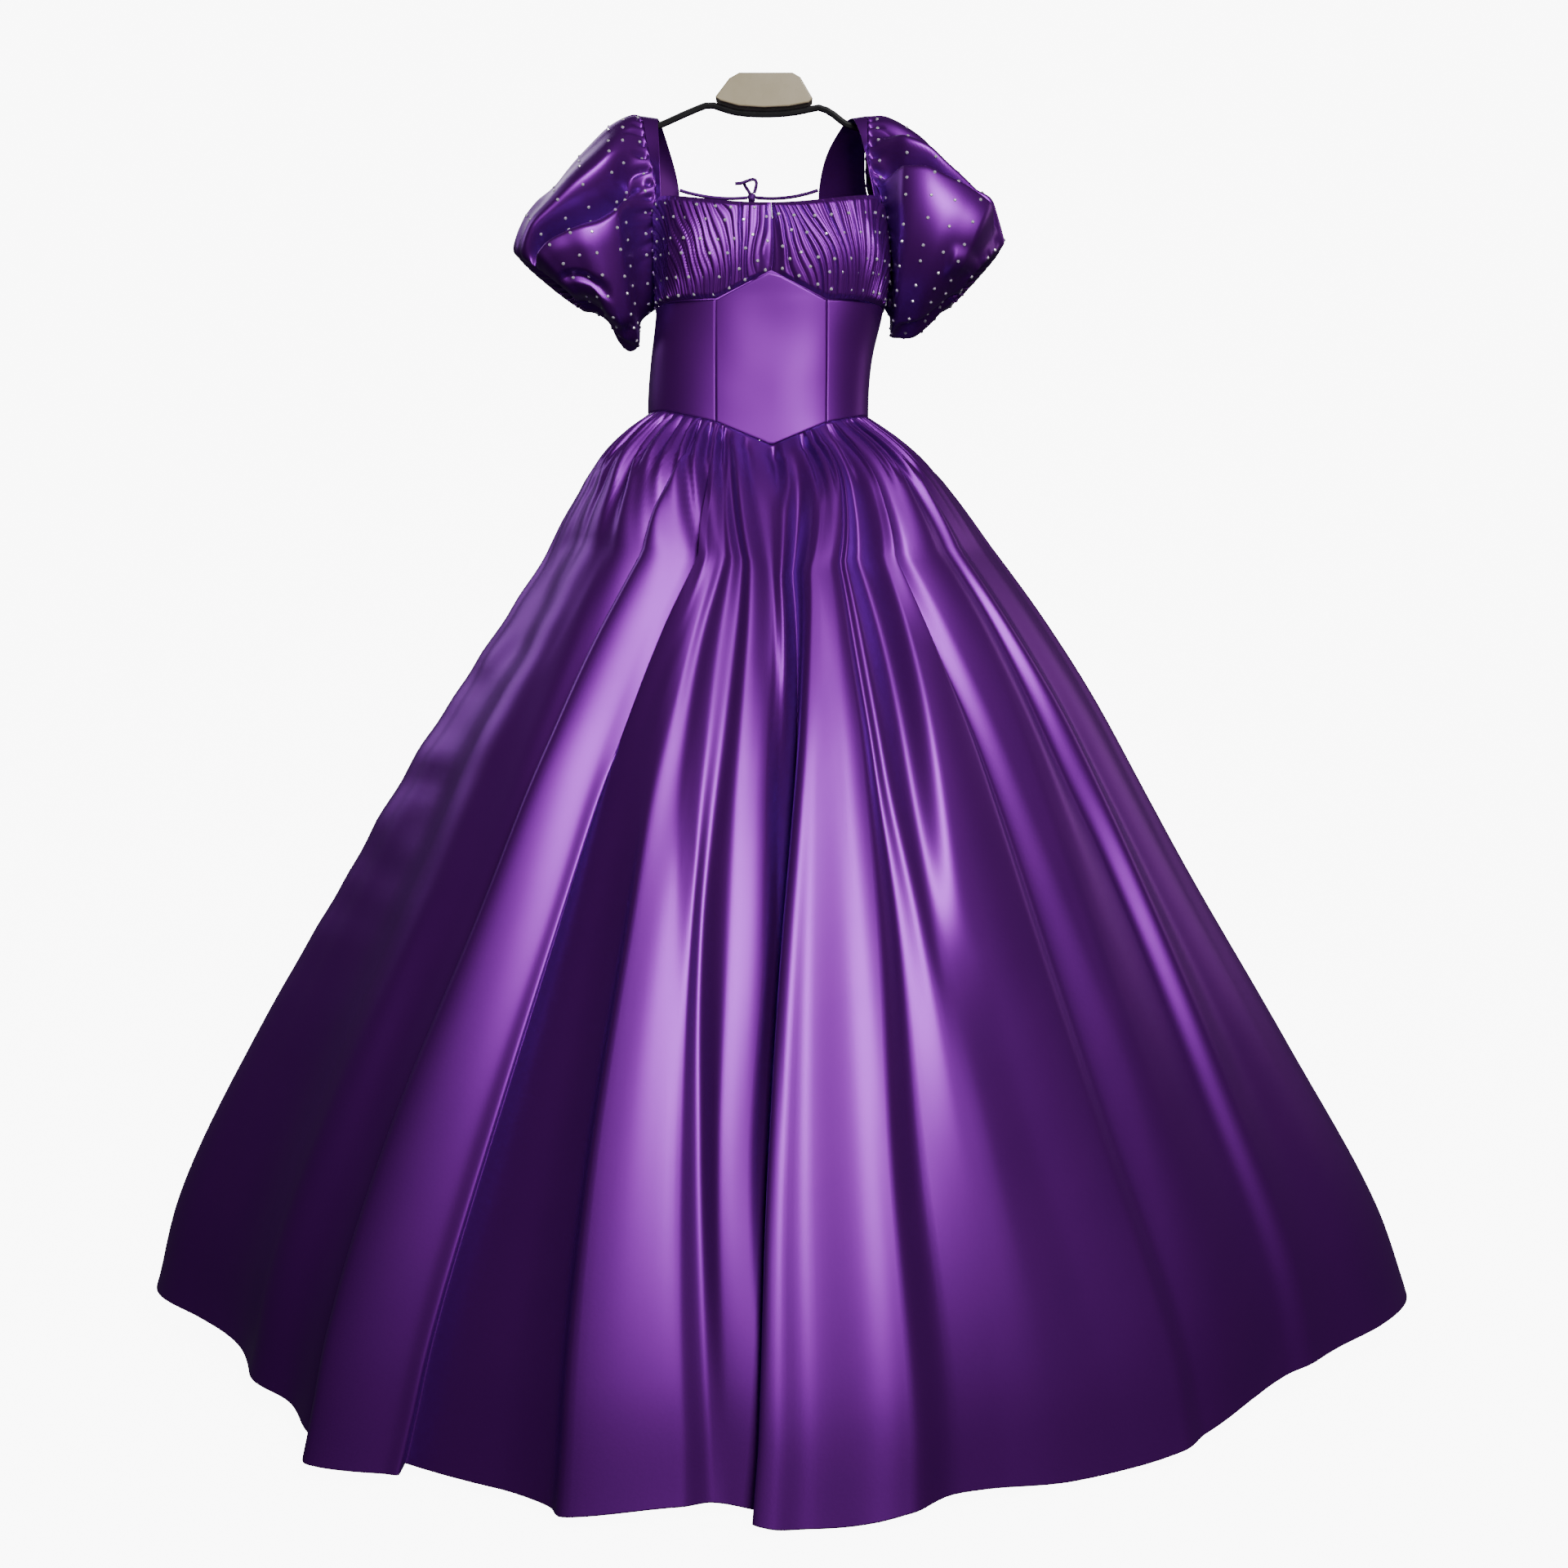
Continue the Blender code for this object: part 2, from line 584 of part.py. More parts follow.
def make_front_panels():
    """The plain panels between bust and waist: the pointed middle and the two at its sides."""
    half = PRINCESS - SEAM / 2
    points = panel(
        lambda z: azimuth_at_x(FRONT_LINE - half, z),
        lambda z: azimuth_at_x(FRONT_LINE + half, z),
        waist_front,
        underbust,
        12,
        5,
    )
    cloth("bodice_front", points, Vector((0, 0, -0.32)))
    for word, side in (("right", -1), ("left", 1)):
        points = panel(
            lambda z: azimuth_at_x(FRONT_LINE + side * (PRINCESS + SEAM / 2), z),
            lambda z: side * (SIDE - SIDE_SEAM / 2) + 0 * z,
            waist_front,
            underbust,
            7,
            5,
        )
        cloth(f"bodice_side_{word}", points, Vector((0, 0, -0.32)))


def make_back_panels():
    """The two plain panels of the back, from the side seam to the closed middle of the back."""
    for word, side in (("right", -1), ("left", 1)):
        share = np.linspace(0, 1, BACK_COLUMNS + 1)
        hole = armhole(np.interp(share, (0, BACK_HOLE), BACK_TURNS), side)
        strap_foot = STRAP[0].left if side > 0 else STRAP[0].right
        neck_x = np.interp(share, (BACK_FOOT, 1), (side * strap_foot, BACK_LINE + side * SEAM / 2))
        neck_azimuth = azimuth_at_x(neck_x, BACK_NECK, front=False)
        hole_azimuth = np.abs(azimuth_at_y(hole[:, 1], hole[:, 2], side))
        hole_azimuth = hole_azimuth if side > 0 else 360.0 - hole_azimuth
        on_neck = ramp(share, BACK_HOLE, BACK_FOOT)
        azimuth_top = hole_azimuth * (1 - on_neck) + neck_azimuth * on_neck
        z_top = hole[:, 2] * (1 - on_neck) + BACK_NECK * on_neck
        side_azimuth = (SIDE if side > 0 else BACK + SIDE) + side * SIDE_SEAM / 2
        up = np.linspace(0, 1, BACK_ROWS + 1)[:, None]
        z_low = WAIST_SIDE + SEAM / 2
        z = z_low + (z_top - z_low) * up
        closing = azimuth_at_x(BACK_LINE + side * SEAM / 2, z, front=False)
        low_azimuth = side_azimuth + (closing - side_azimuth) * share
        azimuth = low_azimuth + (azimuth_top - low_azimuth) * up**BACK_TURN_IN
        azimuth[:, -1] = closing[:, 0]
        cloth(f"bodice_back_{word}", bodice_point(azimuth, z), Vector((0, 0, -0.26)))


def strap_neck(turn, side):
    """The neck edge of a strap at a turn round the armhole."""
    x = side * smooth(STRAP, "left" if side > 0 else "right", "turn", turn)
    return np.stack([x, smooth(STRAP, "y", "turn", turn), smooth(STRAP, "z", "turn", turn)], axis=-1)


def make_strap(name, side):
    """A strap over the shoulder, from the top edge of the front to the top edge of the back."""
    turn = np.linspace(-STRAP_END, STRAP_END, STRAP_STEPS + 1)[:, None]
    arm = armhole(turn, side)
    neck = strap_neck(turn, side)
    across = np.linspace(0, 1, STRAP_ACROSS + 1)[None, :, None]
    points = arm + (neck - arm) * across
    cloth(name, points, Vector((side * 0.11, 0.0, -0.14)))


def skirt_base(azimuth, drop):
    """The smooth skirt under its folds, with the way it faces."""
    turn = np.radians(azimuth)
    front, back = smooth(SKIRT, "front", "drop", drop), smooth(SKIRT, "back", "drop", drop)
    deep = np.where(np.cos(turn) > 0, front, back)
    squareness = BODICE_SQUARENESS + (2.0 - BODICE_SQUARENESS) * ramp(drop, 0, SKIRT_ROUND)
    side = smooth(SKIRT, "side", "drop", drop)
    x = side * power(np.sin(turn), 2 / squareness)
    y = -deep * power(np.cos(turn), 2 / squareness)
    facing = np.stack([x / side**2, y / deep**2], axis=-1)
    return x, y, facing / np.linalg.norm(facing, axis=-1, keepdims=True)


def skirt_folds(thread, drop):
    """How far the folds, laps and gathers move a point outwards, and round in degrees."""
    width = FOLD_WIDTH_AT_WAIST + (1 - FOLD_WIDTH_AT_WAIST) * drop
    out = 0 * thread * drop
    slide = 0 * thread * drop
    for fold in FOLDS:
        crest = three_heights(fold.top, fold.middle, fold.hem, drop)
        height = three_heights(fold.high_top, fold.high_middle, fold.high_hem, drop)
        out = out + height * hump(around(thread, crest), fold.right * width, fold.left * width)
    for lap in LAPS:
        centre = three_heights(lap.top, lap.middle, lap.hem, drop)
        step = three_heights(lap.step_top, lap.step_middle, lap.step_hem, drop)
        over = three_heights(lap.slide_top, lap.slide_middle, lap.slide_hem, drop)
        away = around(thread, centre) / (LAP_SPREAD * width)
        out = out + step / 2 * np.tanh(LAP_STEEPNESS * away) * hump(around(thread, centre), LAP_REACH, LAP_REACH)
        slide = slide - over * away * np.exp((1 - away**2) / 2)
    out = out * ramp(drop, 0, FOLD_START)
    uneven = 1 + GATHER_UNEVEN * np.sin(np.radians(5 * thread + 40)) * np.sin(np.radians(3 * thread))
    gather = smooth(GATHER, "height", "drop", drop) * uneven * np.cos(np.radians(thread * GATHERS))
    return out - gather, slide


def skirt_point(thread, drop):
    """A point of the skirt's outer side on a thread that runs from the waist to the hem."""
    out, slide = skirt_folds(thread, drop)
    turn = smooth(TURN, "angle", "drop", drop) * np.cos(np.radians(thread)) ** 2
    azimuth = thread + turn + slide
    x, y, facing = skirt_base(azimuth, drop)
    hem = smooth(HEM, "z", "azimuth", around(azimuth, FRONT))
    tip = TIP_ROOM * np.exp(-((around(azimuth, TIP_AZIMUTH) / TIP_SPREAD) ** 2))
    top = waist(azimuth) - SEAM - tip
    z = top + (hem - top) * drop
    shift = np.where(drop < 0.02, lean(top), lean(z))
    return np.stack([x + shift + out * facing[..., 0], y + out * facing[..., 1], z], axis=-1)


def make_skirt():
    """The gathered skirt: one wide front and two backs, sewn at the sides and the middle of the back."""
    drop = np.array(SKIRT_DROPS[::-1])[:, None]
    for name, start, end, step in (
        ("skirt_front", -SIDE, SIDE, FRONT_STEP),
        ("skirt_back_left", SIDE, BACK, BACK_STEP),
        ("skirt_back_right", BACK, BACK + SIDE, BACK_STEP),
    ):
        steps = round((end - start) / step)
        threads = np.linspace(start, end, steps + 1)
        threads = np.sort(np.append(threads, (start + EDGE_STEP, end - EDGE_STEP)))
        thread = threads[None, :] + 0 * drop
        seam = np.degrees(SEAM / 2 / smooth(SKIRT, "side", "drop", drop))[:, 0]
        thread[:, 0] += seam
        thread[:, -1] -= seam
        points = skirt_point(thread, drop)
        cloth(name, points, Vector((0, 0, -0.8)))


def puff_ring(row, turn, side):
    """A ring of a sleeve: an oval between the outer and the inner outline."""
    outer = np.array([side * row.outer, 0.0, row.outer_z])
    inner = np.array([side * row.inner, 0.0, row.inner_z])
    angle = np.radians(turn)[:, None]
    half = (outer - inner) / 2
    return (outer + inner) / 2 + half * np.cos(angle) - np.array([0, row.deep, 0]) * np.sin(angle)


def puff_rise(turn, way, drapes):
    """How far the drapes, the pleats of the head and the gathers of the cuff stand out."""
    rise = 0 * way * turn
    for drape in drapes:
        along = (way - drape.way_from) / (drape.way_to - drape.way_from)
        centre = drape.turn_from + (drape.turn_to - drape.turn_from) * along
        strength = np.sqrt(np.sin(np.pi * np.clip(along, 0, 1)))
        rise = rise + drape.height * strength * hump(around(turn, centre), drape.spread, drape.spread)
    head = np.exp(-(((way - HEAD_WAY) / HEAD_SPREAD) ** 2)) * ramp(way, 0, HEAD_WAY / 3)
    over_arm = np.clip(0.5 + np.cos(np.radians(turn)), 0, 1)
    rise = rise + HEAD_PLEAT * head * over_arm * np.cos(np.radians(turn * HEAD_PLEATS))
    cuff = ramp(way, CUFF_START, CUFF_FULL) * (1 - ramp(way, CUFF_FULL, 1) / 2)
    return rise + CUFF_GATHER * cuff * np.cos(np.radians(turn * CUFF_GATHERS))


def make_sleeve(name, side, rows, drapes):
    """A puff sleeve: rings from the armhole to the cuff, smoothed along its length, then draped."""
    turn = np.linspace(0, 360, PUFF_AROUND + 1)
    start = armhole(turn, side) + np.array([side * ARMHOLE_GAP, 0, 0])
    rings = np.array([start] + [puff_ring(row, turn, side) for row in rows])
    ways = np.array([0.0] + [row.way for row in rows])
    way = np.array(PUFF_WAYS)[:, None]
    points = through(ways, rings.reshape(len(ways), -1), way).reshape(len(way), len(turn), 3)
    outward = points - points[:, :-1].mean(axis=1)[:, None, :]
    outward = outward / np.linalg.norm(outward, axis=-1, keepdims=True)
    points = points + outward * puff_rise(turn, way, BACK_DRAPES + drapes)[..., None]
    points[:, -1] = points[:, 0]
    cloth(name, points, Vector(points.reshape(-1, 3).mean(axis=0)), round_tube=True)


def route_through(places, step):
    """Evenly spaced points on a smooth curve through the places."""
    places = np.array(places)
    along = np.arange(len(places), dtype=float)
    fine = through(along, places, np.linspace(0, along[-1], ROUTE_STEPS * len(places))[:, None])
    lengths = np.append(0, np.cumsum(np.linalg.norm(np.diff(fine, axis=0), axis=1)))
    marks = np.linspace(0, lengths[-1], max(2, round(lengths[-1] / step)) + 1)
    return np.stack([np.interp(marks, lengths, column) for column in fine.T], axis=-1)


def tube(name, route, diameter, finish, resolution=2):
    """A round cord or bar along a route, as a curve with filled caps."""
    curve = bpy.data.curves.new(name, "CURVE")
    curve.dimensions = "3D"
    spline = curve.splines.new("POLY")
    spline.points.add(len(route) - 1)
    for point, place in zip(spline.points, route, strict=True):
        point.co = (*place, 1)
    curve.bevel_depth = diameter / 2
    curve.bevel_resolution = resolution
    curve.use_fill_caps = True
    return add_object(name, curve, finish)


def tie_route(side):
    """From the edge of a strap at the back neckline to the knot, hanging a little slack."""
    edge = Vector(strap_neck(np.array(TIE_TURN), side))
    start = edge + (KNOT - edge).normalized() * TIE_GAP
    end = KNOT + Vector((side * (KNOT_SIZE.x + SEAM), 0, 0))
    shares = np.linspace(0, 1, TIE_PLACES)
    return [start.lerp(end, t) - Vector((0, 0, TIE_SAG * 4 * t * (1 - t))) for t in shares]


def make_ties():
    """The two cords, the knot between them, and the loop and short end that stand above it."""
    satin = material("satin", SATIN, SATIN_ROUGHNESS)
    for word, side in (("right", -1), ("left", 1)):
        tube(f"tie_{word}", route_through(tie_route(side), CORD_STEP), CORD, satin)
    tube("tie_bow", route_through(BOW, BOW_STEP), CORD, satin)
    tube("tie_end", route_through(TAIL, BOW_STEP), CORD, satin)
    knot = bmesh.new()
    bmesh.ops.create_uvsphere(knot, u_segments=14, v_segments=8, radius=1)
    bmesh.ops.scale(knot, vec=KNOT_SIZE, verts=knot.verts)
    bmesh.ops.translate(knot, vec=KNOT, verts=knot.verts)
    mesh = bpy.data.meshes.new("tie_knot")
    knot.to_mesh(mesh)
    knot.free()
    mesh.shade_smooth()
    add_object("tie_knot", mesh, satin)


def make_hanger():
    """The moulded cap, a rounded slab, and the bar bent to run under it."""
    curve = bpy.data.curves.new("hanger_cap", "CURVE")
    curve.dimensions = "2D"
    curve.fill_mode = "BOTH"
    curve.extrude = CAP_DEEP / 2
    spline = curve.splines.new("POLY")
    spline.points.add(len(CAP_OUTLINE) - 1)
    for point, place in zip(spline.points, CAP_OUTLINE, strict=True):
        point.co = (place.x, place.y, 0, 1)
    spline.use_cyclic_u = True
    cap = add_object("hanger_cap", curve, material("cap", BEIGE, PLASTIC_ROUGHNESS))
    cap.rotation_euler = (math.radians(90), 0, 0)
    weld = cap.modifiers.new("weld", "WELD")
    weld.merge_threshold = 0.00001
    edge = cap.modifiers.new("round", "BEVEL")
    edge.width = CAP_ROUND
    edge.segments = 3
    edge.angle_limit = math.radians(40)
    bar = material("bar", BLACK, PLASTIC_ROUGHNESS)
    tube("hanger_bar", route_through(BAR_PATH, BAR_STEP), BAR, bar)


for leftover in list(bpy.data.objects):
    bpy.data.objects.remove(leftover)
gown = bpy.data.collections.new("ball_gown")
bpy.context.scene.collection.children.link(gown)
make_cup("bust_right", -1)
make_cup("bust_left", 1)
make_front_panels()
make_back_panels()
make_strap("strap_right", -1)
make_strap("strap_left", 1)
make_sleeve("sleeve_right", -1, PUFF_RIGHT, DRAPES_RIGHT)
make_sleeve("sleeve_left", 1, PUFF_LEFT, DRAPES_LEFT)
make_skirt()
make_ties()
make_hanger()
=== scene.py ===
# %% [markdown]
# # A ball gown of satin, filled out on its hanger
#
# The gown hangs from a hanger with a moulded cap. Its bust is ruched, its sleeves are puffed, its bodice
# comes to a point below the waist, and its wide skirt is gathered to that point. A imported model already
# holds every piece at its real size. This script dresses it: each piece of cloth is made again on a finer
# grid, with the smaller folds, the seams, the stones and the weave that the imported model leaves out.
#
# Everything is in metres. The origin is the top of the hanger's cap, +Z is up, the gown's front faces -Y
# and +X is the wearer's left.

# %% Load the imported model
import json
import math
import random
from collections import namedtuple

import bmesh
import bpy
import numpy as np
from mathutils import Matrix, Vector, noise

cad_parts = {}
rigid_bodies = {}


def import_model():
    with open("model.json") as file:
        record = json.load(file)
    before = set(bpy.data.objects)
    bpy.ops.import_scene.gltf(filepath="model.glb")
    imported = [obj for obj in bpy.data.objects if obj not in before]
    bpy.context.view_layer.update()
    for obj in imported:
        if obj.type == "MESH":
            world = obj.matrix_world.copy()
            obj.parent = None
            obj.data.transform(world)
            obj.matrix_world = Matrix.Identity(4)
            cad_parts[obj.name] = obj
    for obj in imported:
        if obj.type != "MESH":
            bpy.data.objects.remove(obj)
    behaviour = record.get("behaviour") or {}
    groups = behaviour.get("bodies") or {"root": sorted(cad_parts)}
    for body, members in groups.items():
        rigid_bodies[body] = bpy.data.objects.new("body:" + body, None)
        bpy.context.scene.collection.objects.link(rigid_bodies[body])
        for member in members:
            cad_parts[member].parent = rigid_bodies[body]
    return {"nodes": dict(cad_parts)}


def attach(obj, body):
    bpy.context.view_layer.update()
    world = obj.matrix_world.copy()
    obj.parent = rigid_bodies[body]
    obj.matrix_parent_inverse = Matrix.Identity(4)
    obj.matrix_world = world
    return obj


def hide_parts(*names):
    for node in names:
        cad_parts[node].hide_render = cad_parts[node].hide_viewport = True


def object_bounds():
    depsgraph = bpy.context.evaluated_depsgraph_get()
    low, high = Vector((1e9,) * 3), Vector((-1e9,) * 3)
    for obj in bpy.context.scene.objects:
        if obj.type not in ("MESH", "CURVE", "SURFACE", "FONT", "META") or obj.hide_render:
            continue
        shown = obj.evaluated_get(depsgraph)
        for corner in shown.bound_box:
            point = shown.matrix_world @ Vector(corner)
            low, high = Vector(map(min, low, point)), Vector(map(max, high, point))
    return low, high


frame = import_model()
cad_low, cad_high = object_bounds()
print("nodes", len(frame["nodes"]), "box", cad_low, cad_high)

# %% [markdown]
# ## Camera, light and room
#
# A gown this wide is photographed from a little over one and a half times its height away, with a lens of
# 45 mm. Satin shows its folds best under one broad light from the front: cloth that faces the light
# glows, and cloth that turns away goes nearly black. So the key light is large, high in front and a little
# to the right, and the room is dim. A narrow lamp lifts the bodice, and weaker ones light the sides and
# the back. The paper behind glows by itself.

# %% Camera
CAMERA_PLACE = (0.0187, -2.24, -0.6052)
CAMERA_TILT = 4.764  # degrees below level
CAMERA_LENS = 45.0

camera = bpy.data.objects.new("camera", bpy.data.cameras.new("camera"))
camera.data.lens = CAMERA_LENS
camera.location = CAMERA_PLACE
camera.rotation_euler = (math.radians(90 - CAMERA_TILT), 0, 0)
bpy.context.scene.collection.objects.link(camera)
bpy.context.scene.camera = camera
print("camera", tuple(camera.location))

# %% Lights
Lamp = namedtuple("Lamp", "name place aim wide high energy colour spread")
ROOM_COLOUR, ROOM_STRENGTH = (0.80, 0.82, 0.90, 1), 0.045
LAMPS = (
    Lamp("key", (0.80, -3.1, 1.30), (0.0, 0.0, -0.60), 1.0, 1.7, 105.0, (1.0, 0.96, 0.98), 180),
    Lamp("bodice", (0.42, -2.7, -0.30), (0.0, 0.0, -0.29), 0.5, 0.4, 0.11, (1.0, 0.93, 0.97), 13),
    Lamp("left side", (-2.8, 1.5, 1.3), (-0.3, 0.0, -0.5), 1.2, 1.6, 12.0, (0.95, 0.93, 1.0), 180),
    Lamp("right side", (2.8, 1.2, 0.5), (0.3, 0.0, -0.7), 1.2, 1.6, 6.0, (1.0, 0.78, 0.85), 180),
    Lamp("back", (-0.9, 3.2, 1.6), (0.0, 0.0, -0.75), 1.8, 1.8, 30.0, (0.95, 0.94, 1.0), 180),
)

for lamp in LAMPS:
    light = bpy.data.lights.new(lamp.name, "AREA")
    light.shape = "RECTANGLE"
    light.size = lamp.wide
    light.size_y = lamp.high
    light.energy = lamp.energy
    light.color = lamp.colour
    light.spread = math.radians(lamp.spread)
    holder = bpy.data.objects.new(lamp.name, light)
    holder.location = lamp.place
    aim = Vector(lamp.aim) - Vector(lamp.place)
    holder.rotation_euler = aim.to_track_quat("-Z", "Y").to_euler()
    bpy.context.scene.collection.objects.link(holder)

world = bpy.data.worlds.new("room")
world.use_nodes = True
backdrop = world.node_tree.nodes["Background"]
backdrop.inputs["Color"].default_value = ROOM_COLOUR
backdrop.inputs["Strength"].default_value = ROOM_STRENGTH
bpy.context.scene.world = world
print("lamps", [lamp.name for lamp in LAMPS])

# %% [markdown]
# ## A helper for materials
#
# Blender's materials are graphs of nodes. Written out one node at a time they are long and hard to read,
# so a small class wraps a node's socket and lets plain arithmetic stand for Math nodes: `mask * 0.3 + 0.1`
# adds two. Every other node comes from one method, which takes its type, its settings and its inputs.


# %% Sockets that can be added and multiplied
OBJECT_PLACE = 3  # output of a Texture Coordinate node
MIX_FACTOR, MIX_FIRST, MIX_SECOND, MIX_COLOUR = 0, 6, 7, 2  # sockets of a Mix node for colours


class Wire:
    """A node's output socket, on which arithmetic adds Math nodes."""

    def __init__(self, finish, socket):
        self.finish = finish
        self.socket = socket

    def math(self, operation, first, second):
        return self.finish.node("ShaderNodeMath", {"operation": operation}, {0: first, 1: second})

    def __add__(self, other):
        return self.math("ADD", self, other)

    def __radd__(self, other):
        return self.math("ADD", other, self)

    def __mul__(self, other):
        return self.math("MULTIPLY", self, other)

    def __rmul__(self, other):
        return self.math("MULTIPLY", other, self)


class Finish:
    """A material that is built up from nodes."""

    def __init__(self, name):
        self.material = bpy.data.materials.new(name)
        self.material.use_nodes = True
        self.nodes = self.material.node_tree.nodes
        self.links = self.material.node_tree.links
        self.shader = self.nodes["Principled BSDF"]

    def node(self, kind, settings=None, inputs=None, output=0):
        """Adds a node and returns one of its outputs."""
        made = self.nodes.new(kind)
        for key, value in (settings or {}).items():
            setattr(made, key, value)
        self.feed(made, inputs or {})
        return Wire(self, made.outputs[output])

    def feed(self, made, inputs):
        """Links wires to a node's inputs, and sets the others to their values."""
        for key, value in inputs.items():
            if isinstance(value, Wire):
                self.links.new(value.socket, made.inputs[key])
            else:
                made.inputs[key].default_value = value

    def blend(self, amount, first, second):
        """A colour between two colours."""
        sockets = {MIX_FACTOR: amount, MIX_FIRST: first, MIX_SECOND: second}
        return self.node("ShaderNodeMix", {"data_type": "RGBA"}, sockets, output=MIX_COLOUR)

    def place(self):
        """The place of a point on its object, in metres."""
        return self.node("ShaderNodeTexCoord", output=OBJECT_PLACE)

    def noise(self, place, scale, detail=2.0):
        """Smooth noise between 0 and 1."""
        return self.node("ShaderNodeTexNoise", None, {"Vector": place, "Scale": scale, "Detail": detail})

    def bump(self, height, distance, strength):
        sockets = {"Height": height, "Distance": distance, "Strength": strength}
        return self.node("ShaderNodeBump", None, sockets)

    def surface(self, **inputs):
        """Sets the shader's sockets by name, with _ for a space."""
        self.feed(self.shader, {name.replace("_", " "): value for name, value in inputs.items()})
        return self.material


# %% [markdown]
# ## Satin
#
# Satin floats its warp threads over the weft, so it reflects like brushed metal along soft, broad bands,
# and its colour comes out in the reflection. A Principled shader that is mostly metallic, and fairly
# rough, does the same: bright where the cloth faces the light, dark where it turns away. A thin coat adds
# the paler gleam on the tightest folds. The weave is a fine noise, stretched along the warp, that follows
# the cloth's own map and moves both the bump and the roughness a little.

# %% The satin of the gown
PURPLE = (0.255, 0.017, 0.440, 1)
DEEP_PURPLE = (0.200, 0.011, 0.380, 1)
CLOTH_MAP = "cloth"
THREADS = (1500.0, 420.0, 1.0)
GRAIN, CLOUD = 700.0, 11.0
SATIN_ROUGH, SATIN_VARIES = 0.36, 0.10
WEAVE_HIGH, WEAVE_STRENGTH = 0.00010, 0.35

satin = Finish("satin")
chart_place = satin.node("ShaderNodeUVMap", {"uv_map": CLOTH_MAP})
warp = satin.node("ShaderNodeMapping", None, {"Vector": chart_place, "Scale": THREADS})
thread = satin.noise(warp, 1.0)
grain = satin.noise(chart_place, GRAIN, 1.0)
cloud = satin.noise(chart_place, CLOUD, 3.0)
SATIN = satin.surface(
    Base_Color=satin.blend(cloud * 0.6 + grain * 0.4, DEEP_PURPLE, PURPLE),
    Metallic=0.85,
    Roughness=SATIN_ROUGH + SATIN_VARIES * grain,
    Coat_Weight=0.10,
    Coat_Roughness=0.32,
    Coat_IOR=1.45,
    Normal=satin.bump(thread * 0.6 + grain * 0.4, WEAVE_HIGH, WEAVE_STRENGTH),
)
print("satin nodes", len(SATIN.node_tree.nodes))

# %% [markdown]
# ## Curves through short tables
#
# The gown's shape is held in short tables: a row for each height, fold or section, and a named column for
# each size. A smooth curve through a column gives the size at every height in between.


# %% Curves, ramps and humps
def between(t, first, second, leave, arrive):
    """A smooth step from first to second while t goes from 0 to 1, with a slope at either end."""
    start = (2 * t**3 - 3 * t**2 + 1) * first + (t**3 - 2 * t**2 + t) * leave
    end = (3 * t**2 - 2 * t**3) * second + (t**3 - t**2) * arrive
    return start + end


def through(x, y, at):
    """Values on a smooth curve through y at x; y may have several columns, and at is then a column."""
    width = np.diff(x)
    slope = np.diff(y, axis=0) / width.reshape(-1, *[1] * (y.ndim - 1))
    tangent = np.concatenate((slope[:1], (slope[1:] + slope[:-1]) / 2, slope[-1:]))
    at = np.clip(at, x[0], x[-1])
    span = np.clip(np.searchsorted(x, at, side="right") - 1, 0, len(x) - 2)
    t = (at - x[span]) / width[span]
    if y.ndim > 1:
        span = span[:, 0]
    step = width[span].reshape(t.shape)
    return between(t, y[span], y[span + 1], step * tangent[span], step * tangent[span + 1])


def smooth(rows, column, key, at):
    """The value of a table's column at a key, on a smooth curve through the table's rows."""
    ordered = sorted(rows, key=lambda row: getattr(row, key))
    x = np.array([getattr(row, key) for row in ordered], float)
    y = np.array([getattr(row, column) for row in ordered], float)
    return through(x, y, at)


def ramp(value, start, end):
    """0 up to start, 1 from end on, and a straight climb between them."""
    return np.clip((value - start) / (end - start), 0, 1)


def ease(value, start, end):
    """A ramp with soft ends."""
    t = ramp(value, start, end)
    return t * t * (3 - 2 * t)


def hump(distance, before, after):
    """1 at the middle, falling smoothly to 0 at either width."""
    width = np.where(distance < 0, before, after)
    return np.where(np.abs(distance) < width, 0.5 + 0.5 * np.cos(np.pi * distance / width), 0.0)


def around(azimuth, centre):
    """Degrees from the centre, the short way round."""
    return (azimuth - centre + 180.0) % 360.0 - 180.0


def power(value, exponent):
    return np.sign(value) * np.abs(value) ** exponent


def ripples(points, size, seed):
    """Smooth noise between -1 and 1 over an array of points, with waves of a given size."""
    shift = Vector((seed, 2.3 * seed, 0.7 * seed))
    flat = [noise.noise(Vector(point) / size + shift) for point in points.reshape(-1, 3)]
    return np.array(flat).reshape(points.shape[:-1])


# %% [markdown]
# Every mesh is built with bmesh, Blender's own mesh editor, and is then put into the scene as one object.


# %% Objects from meshes
def mesh_object(name, shape, finish, shade_smooth=True):
    """Turns a bmesh into an object in the scene."""
    mesh = bpy.data.meshes.new(name)
    shape.to_mesh(mesh)
    shape.free()
    if shade_smooth:
        mesh.shade_smooth()
    mesh.materials.append(finish)
    made = bpy.data.objects.new(name, mesh)
    bpy.context.scene.collection.objects.link(made)
    return made


# %% [markdown]
# ## The tie at the back of the neck
#
# Two thin satin cords start at the straps and meet in a small knot, with one loop and one short end above
# it. A cord is a line with a thickness, so each is a curve with a round bevel. It follows a smooth route
# through a few places, evenly spaced, and hangs a little slack between its ends.

# %% Routes for cords
ROUTE_STEPS = 24
CORD = 0.004
CORD_ROUNDNESS = 5


def route_through(places, step):
    """Evenly spaced points on a smooth curve through the places."""
    places = np.array(places)
    along = np.arange(len(places), dtype=float)
    fine = through(along, places, np.linspace(0, along[-1], ROUTE_STEPS * len(places))[:, None])
    lengths = np.append(0, np.cumsum(np.linalg.norm(np.diff(fine, axis=0), axis=1)))
    marks = np.linspace(0, lengths[-1], max(2, round(lengths[-1] / step)) + 1)
    return np.stack([np.interp(marks, lengths, column) for column in fine.T], axis=-1)


